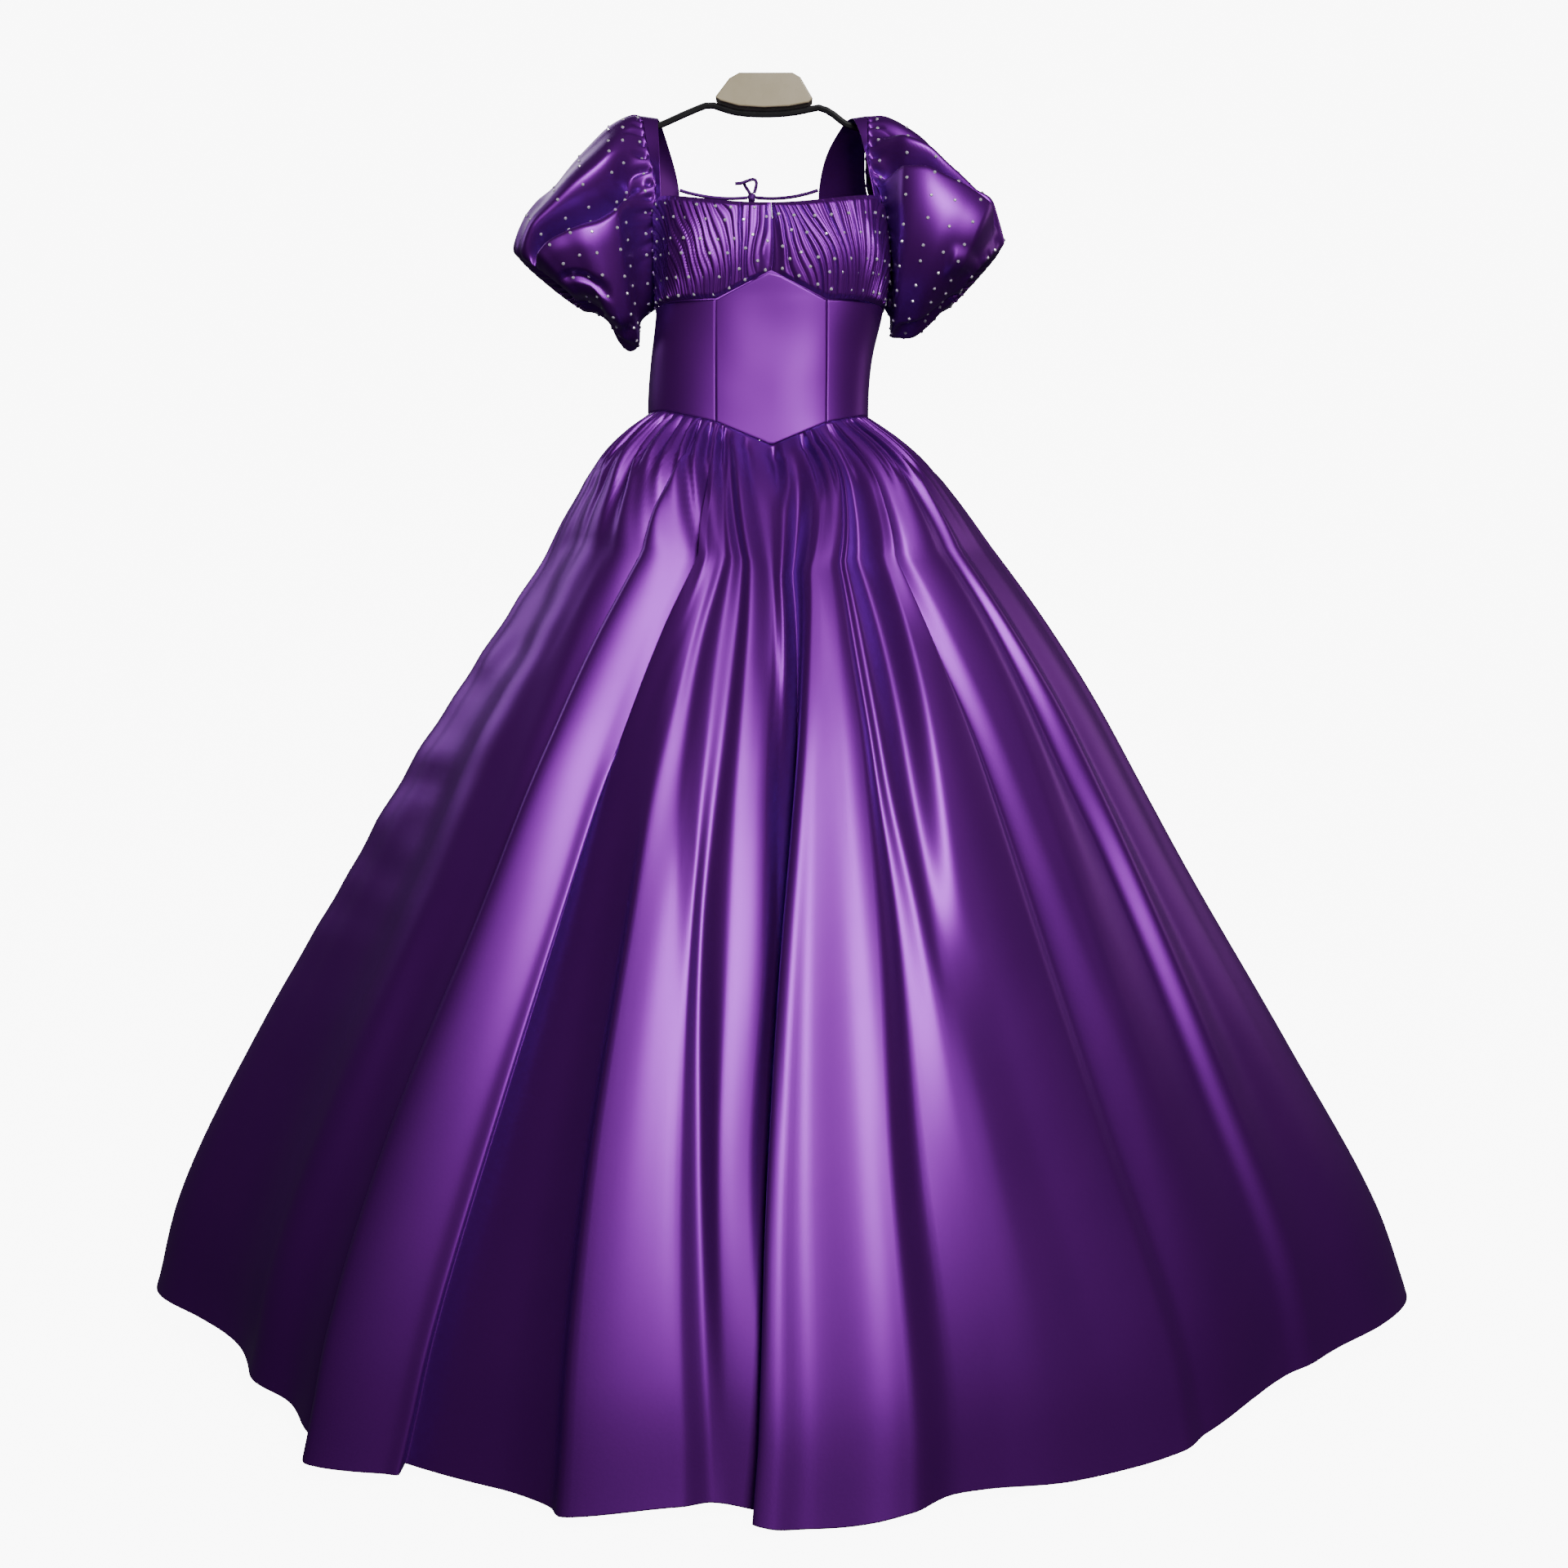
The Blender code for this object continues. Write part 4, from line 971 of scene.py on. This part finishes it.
Edge = namedtuple("Edge", "azimuth z")
HEM = (
    Edge(-180, -1.375),
    Edge(-120, -1.358),
    Edge(-90, -1.345),
    Edge(-60, -1.360),
    Edge(-46, -1.372),
    Edge(-33, -1.385),
    Edge(-16, -1.390),
    Edge(-6, -1.384),
    Edge(2, -1.398),
    Edge(12, -1.384),
    Edge(24, -1.392),
    Edge(34, -1.388),
    Edge(45, -1.368),
    Edge(60, -1.350),
    Edge(90, -1.345),
    Edge(120, -1.358),
    Edge(180, -1.375),
)

# %% [markdown]
# The front of the skirt is drawn as its maker would describe it: crease by crease. Each row follows one
# crease or one crest from the waist to the hem. Its first numbers are azimuths at seven drops, and its
# last ones how far it stands out from the smooth skirt, in millimetres, at five. Where a row lies further
# round than the next one, the cloth folds back under itself, and a sharp edge shows. The grid's columns
# run along the creases, so that each edge stays crisp.

# %% Creases of the skirt's front
Crease = namedtuple("Crease", "azimuths heights")
AZIMUTH_DROPS = (0.04, 0.12, 0.22, 0.35, 0.50, 0.70, 1.00)
HEIGHT_DROPS = (0.04, 0.15, 0.35, 0.60, 1.00)
CREASES = (
    Crease((-90, -90, -90, -90, -90, -90, -90), (0, 0, 0, 0, 0)),
    Crease((-66, -66, -66, -66, -66, -66, -66), (0, 0, 0, 0, 0)),
    Crease((-36, -40, -44, -47, -48, -49, -50), (6, 10, 6, 2, 0)),
    Crease((-18.6, -28.5, -34.2, -35.0, -35.6, -37.2, -37.7), (-2, -6, -8, -10, -12)),
    Crease((-19.0, -29.2, -34.8, -35.6, -36.2, -37.8, -38.3), (2, 6, 10, 12, 8)),
    Crease((-17.6, -27.4, -33.0, -34.0, -34.8, -36.2, -36.9), (5, 14, 26, 30, 28)),
    Crease((-12.5, -19.0, -24.5, -26.5, -27.4, -28.8, -31.0), (0, -2, 2, 2, 2)),
    Crease((-10.2, -15.4, -21.8, -24.4, -25.9, -27.2, -29.8), (-4, -10, -4, -4, -4)),
    Crease((-9.9, -15.0, -21.6, -24.6, -26.5, -28.0, -30.6), (2, 8, -4, -18, -26)),
    Crease((-8.5, -13.5, -18.5, -20.5, -20.8, -21.0, -21.5), (3, 8, 3, -10, -18)),
    Crease((-8.0, -12.5, -17.0, -18.0, -17.3, -17.0, -16.8), (2, 6, 7, 2, 2)),
    Crease((-7.5, -11.5, -15.5, -16.2, -15.8, -15.6, -15.2), (1, 4, 9, 18, 20)),
    Crease((-6.9, -9.6, -13.4, -12.8, -10.6, -9.0, -8.0), (0, 0, 3, 6, 0)),
    Crease((-6.0, -8.3, -10.5, -9.8, -9.0, -7.9, -6.8), (1, 2, 5, 2, -4)),
    Crease((-5.0, -6.6, -7.5, -7.4, -7.6, -6.3, -4.8), (-2, -2, -1, -7, -18)),
    Crease((-3.2, -4.5, -4.8, -4.4, -4.2, -4.3, -3.4), (2, 4, 6, 4, -20)),
    Crease((-0.6, -0.6, -0.5, -0.2, 0.0, -1.5, -1.0), (-2, -2, 1, -2, -20)),
    Crease((2.2, 2.0, 1.8, 1.6, 1.3, 0.2, 1.2), (3, 5, -8, -16, -22)),
    Crease((6.5, 5.6, 5.0, 4.3, 3.0, 1.9, 4.4), (-9, -17, -24, -22, -24)),
    Crease((10.6, 8.2, 5.7, 3.9, 1.8, 0.1, -1.8), (3, 3, 6, 6, 8)),
    Crease((12.5, 10.2, 7.2, 5.2, 3.1, 1.3, -0.4), (5, 9, 12, 11, 12)),
    Crease((13.5, 11.5, 9.0, 7.0, 5.3, 3.8, 2.3), (4, 9, 11, 6, 5)),
    Crease((15.5, 14.2, 12.3, 11.0, 10.0, 8.8, 7.0), (4, 7, 11, 10, 10)),
    Crease((17.5, 16.2, 14.4, 14.2, 13.4, 11.4, 9.8), (2, 3, 8, 8, 6)),
    Crease((18.3, 17.2, 15.8, 16.0, 16.2, 14.6, 13.2), (-1, 0, -2, -9, -18)),
    Crease((19.0, 18.2, 17.2, 17.4, 18.6, 18.8, 18.0), (3, 3, 2, -5, -28)),
    Crease((23.0, 23.0, 22.5, 21.5, 21.0, 21.5, 22.0), (-9, -18, -8, -6, -30)),
    Crease((27.5, 28.3, 27.5, 26.0, 25.0, 27.0, 29.0), (0, 2, 10, -10, -34)),
    Crease((30.0, 30.6, 31.6, 33.6, 34.6, 35.0, 35.0), (4, 7, 2, -16, -34)),
    Crease((30.4, 31.2, 32.5, 35.4, 37.0, 37.4, 38.0), (-4, -6, -8, -24, -42)),
    Crease((34.0, 34.5, 37.0, 40.0, 42.0, 43.0, 42.0), (3, 4, -2, -18, -40)),
    Crease((42.0, 43.0, 45.0, 47.0, 48.0, 48.0, 47.0), (6, 9, 0, -16, -34)),
    Crease((46.0, 47.0, 49.3, 51.0, 53.8, 53.0, 51.0), (2, 4, -6, -14, -26)),
    Crease((50.0, 51.5, 53.0, 56.5, 58.0, 57.0, 55.0), (6, 10, 12, 6, -14)),
    Crease((57.0, 58.0, 60.0, 62.0, 63.5, 63.0, 60.0), (0, 0, 0, -4, -12)),
    Crease((75, 75, 75, 75, 75, 75, 75), (0, 0, 0, 0, 0)),
    Crease((90, 90, 90, 90, 90, 90, 90), (0, 0, 0, 0, 0)),
)

# %% [markdown]
# The flanks and the back take broad folds. Each is a swell or a hollow that runs from waist to hem: its
# azimuths near the waist, half way down and at the hem, its widths on either side in degrees, and how far
# it stands out at the same three places.

# %% Broad folds of the skirt
Fold = namedtuple("Fold", "top middle hem right left high_top high_middle high_hem")
FRONT_FOLDS = (
    Fold(-78, -78, -78, 8, 8, 0.003, 0.005, 0.008),
    Fold(-62, -62, -61, 22, 20, -0.002, -0.020, -0.060),
    Fold(-46, -42, -46, 8, 8, 0.0, -0.006, -0.030),
    Fold(60, 58, 54, 18, 17, -0.002, -0.012, -0.026),
    Fold(80, 78, 76, 9, 8, 0.003, 0.005, 0.008),
)
BACK_FOLDS = (
    Fold(98, 100, 101, 8, 8, -0.004, -0.010, -0.016),
    Fold(112, 114, 114, 8, 7, 0.012, 0.024, 0.034),
    Fold(127, 126, 127, 6, 6, -0.006, -0.014, -0.020),
    Fold(139, 138, 137, 7, 9, 0.010, 0.022, 0.032),
    Fold(153, 151, 151, 6, 5, -0.006, -0.012, -0.022),
    Fold(164, 162, 163, 6, 8, 0.010, 0.020, 0.030),
    Fold(180, 179, 178, 7, 6, -0.008, -0.014, -0.024),
    Fold(193, 193, 192, 8, 6, 0.012, 0.024, 0.034),
    Fold(206, 207, 206, 6, 6, -0.006, -0.012, -0.020),
    Fold(220, 219, 219, 9, 8, 0.010, 0.024, 0.034),
    Fold(235, 234, 235, 7, 7, -0.006, -0.014, -0.022),
    Fold(249, 248, 249, 8, 8, 0.010, 0.022, 0.030),
    Fold(263, 262, 262, 8, 8, -0.004, -0.010, -0.016),
)
FOLD_TOP, FOLD_MIDDLE = 0.12, 0.50
FOLD_START = 0.10
FOLD_WIDTH_AT_WAIST = 0.45

Gather = namedtuple("Gather", "drop height")
GATHER = (
    Gather(0.000, 0.001),
    Gather(0.015, 0.012),
    Gather(0.040, 0.014),
    Gather(0.080, 0.009),
    Gather(0.140, 0.003),
    Gather(0.220, 0.000),
    Gather(1.00, 0.0),
)


# %% Points on the skirt
MILLIMETRE = 0.001
GATHER_WIDTH, FINE_GATHER_WIDTH = 4.6, 2.6  # degrees
POCKET_FROM, POCKET_TO = 0.05, 0.40
POCKET_START, POCKET_END = 0.02, 0.07
CRUMPLE = 0.006
CRUMPLE_SIZE = 0.38
CRUMPLE_FLAT = 9.0
CRUMPLE_AZIMUTH, CRUMPLE_SPREAD = -66.0, 30.0
CRUMPLE_IN, CRUMPLE_OUT = (0.02, 0.10), (0.35, 0.75)
WIDE_SEED, FINE_SEED, CRUMPLE_SEED = 5.0, 9.0, 3.7
GATHER_SINK = 0.4
LEAN_DROP = 0.02


def three_heights(top, middle, hem, drop):
    """A value given near the waist, half way down and at the hem, read at any drop."""
    upper = top + (middle - top) * ramp(drop, FOLD_TOP, FOLD_MIDDLE)
    return upper + (hem - middle) * ramp(drop, FOLD_MIDDLE, 1)


def skirt_base(azimuth, drop):
    """The smooth skirt under its folds, with the way it faces."""
    turn = np.radians(azimuth)
    front, back = smooth(SKIRT, "front", "drop", drop), smooth(SKIRT, "back", "drop", drop)
    deep = np.where(np.cos(turn) > 0, front, back)
    squareness = BODICE_SQUARENESS + (2.0 - BODICE_SQUARENESS) * ramp(drop, 0, SKIRT_ROUND)
    side = smooth(SKIRT, "side", "drop", drop)
    x = side * power(np.sin(turn), 2 / squareness)
    y = -deep * power(np.cos(turn), 2 / squareness)
    facing = np.stack([x / side**2, y / deep**2], axis=-1)
    return x, y, facing / np.linalg.norm(facing, axis=-1, keepdims=True)


def broad_folds(azimuth, drop, folds):
    """How far the broad folds stand out from the smooth skirt."""
    width = FOLD_WIDTH_AT_WAIST + (1 - FOLD_WIDTH_AT_WAIST) * drop
    out = 0 * azimuth * drop
    for fold in folds:
        crest = three_heights(fold.top, fold.middle, fold.hem, drop)
        height = three_heights(fold.high_top, fold.high_middle, fold.high_hem, drop)
        out = out + height * hump(around(azimuth, crest), fold.right * width, fold.left * width)
    return out * ramp(drop, 0, FOLD_START)


def gathers(azimuth, drop):
    """Small uneven gathers under the waist seam, which die out as the skirt widens."""
    turn = np.radians(azimuth)
    ring = np.stack([np.cos(turn), np.sin(turn), 0 * turn], axis=-1) + 0 * drop[..., None]
    wide = ripples(ring, math.radians(GATHER_WIDTH), WIDE_SEED)
    fine = ripples(ring, math.radians(FINE_GATHER_WIDTH), FINE_SEED)
    deep = smooth(GATHER, "height", "drop", drop)
    pocket = ramp(fine, POCKET_FROM, POCKET_TO) * (1 - ramp(drop, POCKET_START, POCKET_END))
    return deep * (wide - GATHER_SINK * np.abs(wide)) - deep * pocket


def crumples(azimuth, drop):
    """Soft level creases over the flank on the wearer's right."""
    turn = np.radians(azimuth)
    rings = np.stack([np.cos(turn), np.sin(turn), CRUMPLE_FLAT * drop], axis=-1)
    where = hump(azimuth - CRUMPLE_AZIMUTH, CRUMPLE_SPREAD, CRUMPLE_SPREAD)
    fade = ease(drop, *CRUMPLE_IN) * (1 - ease(drop, *CRUMPLE_OUT))
    return CRUMPLE * ripples(rings, CRUMPLE_SIZE, CRUMPLE_SEED) * where * fade


def skirt_point(azimuth, drop, out):
    """A point of the skirt's outer side, moved out from the smooth skirt."""
    x, y, facing = skirt_base(azimuth, drop)
    hem = smooth(HEM, "z", "azimuth", around(azimuth, FRONT))
    tip = TIP_ROOM * np.exp(-((around(azimuth, TIP_AZIMUTH) / TIP_SPREAD) ** 2))
    top = waist(azimuth) + SEAM / 4 - tip
    z = top + (hem - top) * drop
    shift = np.where(drop < LEAN_DROP, lean(top), lean(z))
    return np.stack([x + shift + out * facing[..., 0], y + out * facing[..., 1], z], axis=-1)


def along_knots(knots, values, at):
    """Values on a curve through the knots that never overshoots them; a row of values for each drop."""
    width = np.diff(knots)
    slope = np.diff(values, axis=1) / width
    before, after = slope[:, :-1], slope[:, 1:]
    same = before * after > 0
    safe = np.where(same, before + after, 1.0)
    inner = np.where(same, 2 * before * after / safe, 0.0)
    tangent = np.concatenate((slope[:, :1], inner, slope[:, -1:]), axis=1)
    span = np.clip(np.searchsorted(knots, at, side="right") - 1, 0, len(knots) - 2)
    t = (at - knots[span]) / width[span]
    leave, arrive = width[span] * tangent[:, span], width[span] * tangent[:, span + 1]
    return between(t, values[:, span], values[:, span + 1], leave, arrive)


# %% The three pieces of the skirt
SKIRT_ROWS = 96
ROW_CROWD = 1.3
HAIRLINE = 0.00003
HEM_EDGE = 0.0012  # drop of the last row above the hem, so that the hem's edge shades crisply
COLUMNS_PER_DEGREE = 1.35
COLUMNS_PER_CREASE = 4
MIDDLE_DROP = AZIMUTH_DROPS.index(0.35)
BACK_COLUMNS = 150
SKIRT_MIDDLE = Vector((0, 0, -0.8))


def skirt_drops():
    """Drops of the grid's rows, from the hem up, closer together near the waist."""
    drops = np.linspace(1, 0, SKIRT_ROWS + 1) ** ROW_CROWD
    return np.insert(drops, 1, 1 - HEM_EDGE)[:, None]


def crease_column(field, drops_given, drop):
    """One field of all the creases, read at each drop: a row for each drop, a column for each crease."""
    given = np.array([getattr(crease, field) for crease in CREASES], float).T
    return through(np.array(drops_given), given, drop)


def make_skirt(name, azimuth, out):
    """A piece of the skirt, whose grid ends a hairline from the seams at its sides."""
    edge = np.degrees(HAIRLINE / smooth(SKIRT, "side", "drop", drop))[:, 0]
    azimuth[:, 0] += edge
    azimuth[:, -1] -= edge
    return cloth(name, skirt_point(azimuth, drop, out), SKIRT_MIDDLE)


drop = skirt_drops()
azimuths = crease_column("azimuths", AZIMUTH_DROPS, drop)
heights = crease_column("heights", HEIGHT_DROPS, drop) * MILLIMETRE
middle_row = np.array([crease.azimuths[MIDDLE_DROP] for crease in CREASES], float)
counts = [COLUMNS_PER_CREASE + round(abs(step) * COLUMNS_PER_DEGREE) for step in np.diff(middle_row)]
knots = np.insert(np.cumsum(counts), 0, 0).astype(float)
at = np.arange(knots[-1] + 1)
azimuth = along_knots(knots, azimuths, at)
out = along_knots(knots, heights, at) * ramp(drop, 0, HEIGHT_DROPS[0])
drops = drop + 0 * azimuth
out = out + broad_folds(azimuth, drop, FRONT_FOLDS) + gathers(azimuth, drops) + crumples(azimuth, drops)
print("columns of the skirt's front", len(at))
make_skirt("skirt_front", azimuth, out)

for name, first, last in (("skirt_back_left", SIDE, BACK), ("skirt_back_right", BACK, BACK + SIDE)):
    azimuth = np.linspace(first, last, BACK_COLUMNS + 1)[None, :] + 0 * drop
    out = broad_folds(azimuth, drop, BACK_FOLDS) + gathers(azimuth, drop + 0 * azimuth)
    make_skirt(name, azimuth, out)

# %% [markdown]
# ## The puff sleeves
#
# A puff sleeve is cut much wider than the armhole, pleated into it over the top of the arm, and drawn in
# again at the cuff. Its shape is a row of rings, smoothed along its length. A turn goes round the sleeve
# in degrees, as round the armhole, and a way goes from 0 at the armhole to 1 at the cuff. Drapes then run
# over it: each is a ridge or a hollow from one turn and way to another, with its widths in degrees before
# and after its middle, its height, and the last share of its length over which it dies out.

# %% Rings and drapes of the sleeves
Puff = namedtuple("Puff", "way outer outer_z inner inner_z deep")
PUFF_RIGHT = (
    Puff(0.10, 0.1510, -0.0440, 0.1420, -0.2700, 0.059),
    Puff(0.22, 0.1750, -0.0560, 0.1450, -0.2960, 0.074),
    Puff(0.33, 0.1980, -0.0780, 0.1560, -0.3030, 0.082),
    Puff(0.44, 0.2190, -0.1010, 0.1680, -0.2920, 0.086),
    Puff(0.56, 0.2430, -0.1320, 0.1780, -0.2720, 0.086),
    Puff(0.72, 0.2690, -0.1660, 0.1930, -0.2600, 0.084),
    Puff(0.87, 0.2770, -0.2020, 0.2060, -0.2560, 0.072),
    Puff(1.00, 0.2440, -0.2140, 0.1960, -0.2460, 0.046),
)
PUFF_LEFT = (
    Puff(0.10, 0.1310, -0.0455, 0.1400, -0.2700, 0.059),
    Puff(0.22, 0.1560, -0.0580, 0.1390, -0.2860, 0.074),
    Puff(0.33, 0.1780, -0.0750, 0.1480, -0.2880, 0.082),
    Puff(0.44, 0.1980, -0.1010, 0.1650, -0.2870, 0.086),
    Puff(0.56, 0.2200, -0.1280, 0.1820, -0.2740, 0.086),
    Puff(0.72, 0.2460, -0.1620, 0.1950, -0.2600, 0.083),
    Puff(0.87, 0.2590, -0.1950, 0.2060, -0.2500, 0.072),
    Puff(1.00, 0.2280, -0.2120, 0.1860, -0.2400, 0.046),
)
ARMHOLE_GAP = 0.0006
SLEEVE_SEED = 11
HEAD_PLEATS = 40
HEAD_PLEAT = 0.0075
HEAD_REACH = 0.17
CUFF_GATHERS = 22
CUFF_GATHER = 0.0040
CUFF_START, CUFF_FULL = 0.80, 0.95
SLEEVE_COLUMNS, SLEEVE_ROWS = 340, 80
HEAD_START = 0.02
SLEEVE_CROWD = 1.15
DRAPE_START = 0.25

Drape = namedtuple("Drape", "turn_from way_from turn_to way_to before after height stop")
BACK_DRAPES = (
    Drape(-30, 0.12, -40, 0.80, 16, 16, 0.012, 0.4),
    Drape(-70, 0.12, -66, 0.90, 15, 15, -0.016, 0.4),
    Drape(-108, 0.12, -98, 0.90, 17, 17, 0.014, 0.3),
    Drape(-145, 0.25, -130, 0.98, 12, 12, -0.010, 0.3),
)
DRAPES_RIGHT = (
    Drape(58, 0.02, 52, 0.97, 30, 16, 0.010, 0.3),
    Drape(76, 0.00, 71, 0.92, 20, 10, -0.036, 0.3),
    Drape(91, 0.00, 82, 0.88, 10, 48, 0.024, 0.12),
    Drape(132, 0.05, 128, 0.90, 34, 20, 0.014, 0.12),
    Drape(118, 0.30, 112, 0.88, 8, 8, -0.007, 0.3),
    Drape(176, 0.20, 160, 1.00, 18, 16, -0.014, 0.3),
    Drape(20, 0.50, 20, 1.00, 24, 24, 0.006, 0.3),
)
DRAPES_LEFT = (
    Drape(40, 0.02, 8, 0.80, 12, 12, -0.010, 0.4),
    Drape(58, 0.00, 26, 0.84, 14, 11, 0.017, 0.25),
    Drape(72, 0.00, 38, 0.74, 11, 10, -0.030, 0.3),
    Drape(84, 0.00, 46, 0.80, 12, 90, 0.036, 0.14),
    Drape(106, 0.52, 100, 0.84, 15, 15, 0.007, 0.3),
    Drape(172, 0.20, 150, 1.00, 18, 16, -0.014, 0.3),
    Drape(30, 0.60, 34, 1.04, 20, 20, 0.010, 0.3),
)


# %% Points on a sleeve
def puff_ring(row, turn, side):
    """A ring of a sleeve: an oval between the outer and the inner outline."""
    outer = np.array([side * row.outer, 0.0, row.outer_z])
    inner = np.array([side * row.inner, 0.0, row.inner_z])
    angle = np.radians(turn)[:, None]
    half = (outer - inner) / 2
    return (outer + inner) / 2 + half * np.cos(angle) - np.array([0, row.deep, 0]) * np.sin(angle)


def puff_rise(turn, way, drapes):
    """How far the drapes, the pleats of the head and the gathers of the cuff stand out."""
    rise = 0 * way * turn
    for drape in drapes:
        along = (way - drape.way_from) / (drape.way_to - drape.way_from)
        centre = drape.turn_from + (drape.turn_to - drape.turn_from) * along
        strength = ease(along, 0, DRAPE_START) * (1 - ease(along, 1 - drape.stop, 1))
        rise = rise + drape.height * strength * hump(around(turn, centre), drape.before, drape.after)
    number = np.floor(turn * HEAD_PLEATS / 360)
    narrow = (0.5 - 0.5 * np.cos(np.radians(turn * HEAD_PLEATS))) ** 2
    reach = HEAD_REACH * (0.62 + 0.38 * np.sin(number * 2.1))
    head = ramp(way, 0, HEAD_START) * (1 - ease(way, HEAD_START, reach))
    over_arm = np.clip(0.6 + np.cos(np.radians(turn)), 0, 1)
    rise = rise - HEAD_PLEAT * head * over_arm * narrow
    cuff = ramp(way, CUFF_START, CUFF_FULL) * (1 - ramp(way, CUFF_FULL, 1) / 2)
    return rise + CUFF_GATHER * cuff * np.cos(np.radians(turn * CUFF_GATHERS))


def sleeve_points(turn, way, side, rows, drapes):
    start = armhole(turn, side) + np.array([side * ARMHOLE_GAP, 0, 0])
    rings = np.array([start] + [puff_ring(row, turn, side) for row in rows])
    ways = np.array([0.0] + [row.way for row in rows])
    points = through(ways, rings.reshape(len(ways), -1), way).reshape(len(way), len(turn), 3)
    outward = points - points[:, :-1].mean(axis=1)[:, None, :]
    outward = outward / np.linalg.norm(outward, axis=-1, keepdims=True)
    return points + outward * puff_rise(turn, way, BACK_DRAPES + drapes)[..., None]


def make_sleeve(name, side, rows, drapes):
    turn = np.linspace(0, 360, SLEEVE_COLUMNS + 1)
    way = (np.linspace(0, 1, SLEEVE_ROWS + 1) ** SLEEVE_CROWD)[:, None]
    points = sleeve_points(turn, way, side, rows, drapes)
    points[:, -1] = points[:, 0]
    middle = Vector(points.reshape(-1, 3).mean(axis=0))
    gems = stones_on(f"{name}_stones", points, middle, SLEEVE_SEED + side)
    return cloth(name, points, middle, round_tube=True)


make_sleeve("sleeve_right", -1, PUFF_RIGHT, DRAPES_RIGHT)
make_sleeve("sleeve_left", 1, PUFF_LEFT, DRAPES_LEFT)

# %% [markdown]
# ## The room's floor
#
# A sheet of pale paper hangs behind the gown and runs forward under it in one curve, so that no line
# shows where wall and floor meet. It is a row of points pulled out sideways, and isn't part of the gown.

# %% A paper sweep
FLOOR_GAP = 0.004
SWEEP_FRONT, SWEEP_BACK, SWEEP_TOP = -6.0, 4.2, 5.0
SWEEP_RADIUS = 1.6
SWEEP_HALF = 8.0
SWEEP_STEP = 6  # degrees
PAPER_DEEP, PAPER_PALE, PAPER_GLOW = (0.88, 0.88, 0.89, 1), (0.92, 0.92, 0.92, 1), 9.0

floor_z = cad_low[2] - FLOOR_GAP
corner = [math.radians(angle) for angle in range(-90, 1, SWEEP_STEP)]
profile = [Vector((-SWEEP_HALF, SWEEP_FRONT, floor_z))]
for angle in corner:
    across = SWEEP_BACK - SWEEP_RADIUS + SWEEP_RADIUS * math.cos(angle)
    profile.append(Vector((-SWEEP_HALF, across, floor_z + SWEEP_RADIUS * (1 + math.sin(angle)))))
profile.append(Vector((-SWEEP_HALF, SWEEP_BACK, SWEEP_TOP)))

sweep = bmesh.new()
line = [sweep.verts.new(place) for place in profile]
edges = [sweep.edges.new(pair) for pair in zip(line, line[1:], strict=False)]
pulled = bmesh.ops.extrude_edge_only(sweep, edges=edges)["geom"]
moved = [part for part in pulled if isinstance(part, bmesh.types.BMVert)]
bmesh.ops.translate(sweep, vec=(2 * SWEEP_HALF, 0, 0), verts=moved)
bmesh.ops.recalc_face_normals(sweep, faces=sweep.faces)

pale = Finish("paper")
fibre = pale.noise(pale.place(), 3.0, 4.0)
glow = pale.surface(
    Base_Color=pale.blend(fibre, PAPER_DEEP, PAPER_PALE),
    Roughness=0.9,
    Emission_Color=(1, 1, 1, 1),
    Emission_Strength=PAPER_GLOW,
)
paper = mesh_object("paper", sweep, glow)
paper.visible_glossy = False
paper.visible_diffuse = False
print("floor at", floor_z)

# %% [markdown]
# ## The hanger
#
# The cap is moulded in one piece and polished; the bar under it is a plain black rod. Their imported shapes
# are right as they are, so they keep them and only take a better finish.

# %% Plastics of the hanger
HAZE, PORES, PORE_DEEP = 45.0, 900.0, 0.00005
HANGER_FINISHES = (
    ("hanger_cap", (0.50, 0.43, 0.25, 1), (0.60, 0.53, 0.34, 1), 0.22),
    ("hanger_bar", (0.010, 0.010, 0.012, 1), (0.020, 0.020, 0.022, 1), 0.40),
)

for name, deep, bright, rough in HANGER_FINISHES:
    plastic = Finish(name)
    spot = plastic.place()
    haze = plastic.noise(spot, HAZE, 4.0)
    pores = plastic.noise(spot, PORES)
    moulded = plastic.surface(
        Base_Color=plastic.blend(haze, deep, bright),
        Roughness=rough + 0.12 * haze,
        Coat_Weight=0.5,
        Coat_Roughness=0.08,
        Normal=plastic.bump(pores, PORE_DEEP, 0.3),
    )
    for part in bpy.context.scene.objects:
        if part.name.split(".")[0] == name:
            part.material_slots[0].material = moulded
            print("finished", part.name, len(part.material_slots))
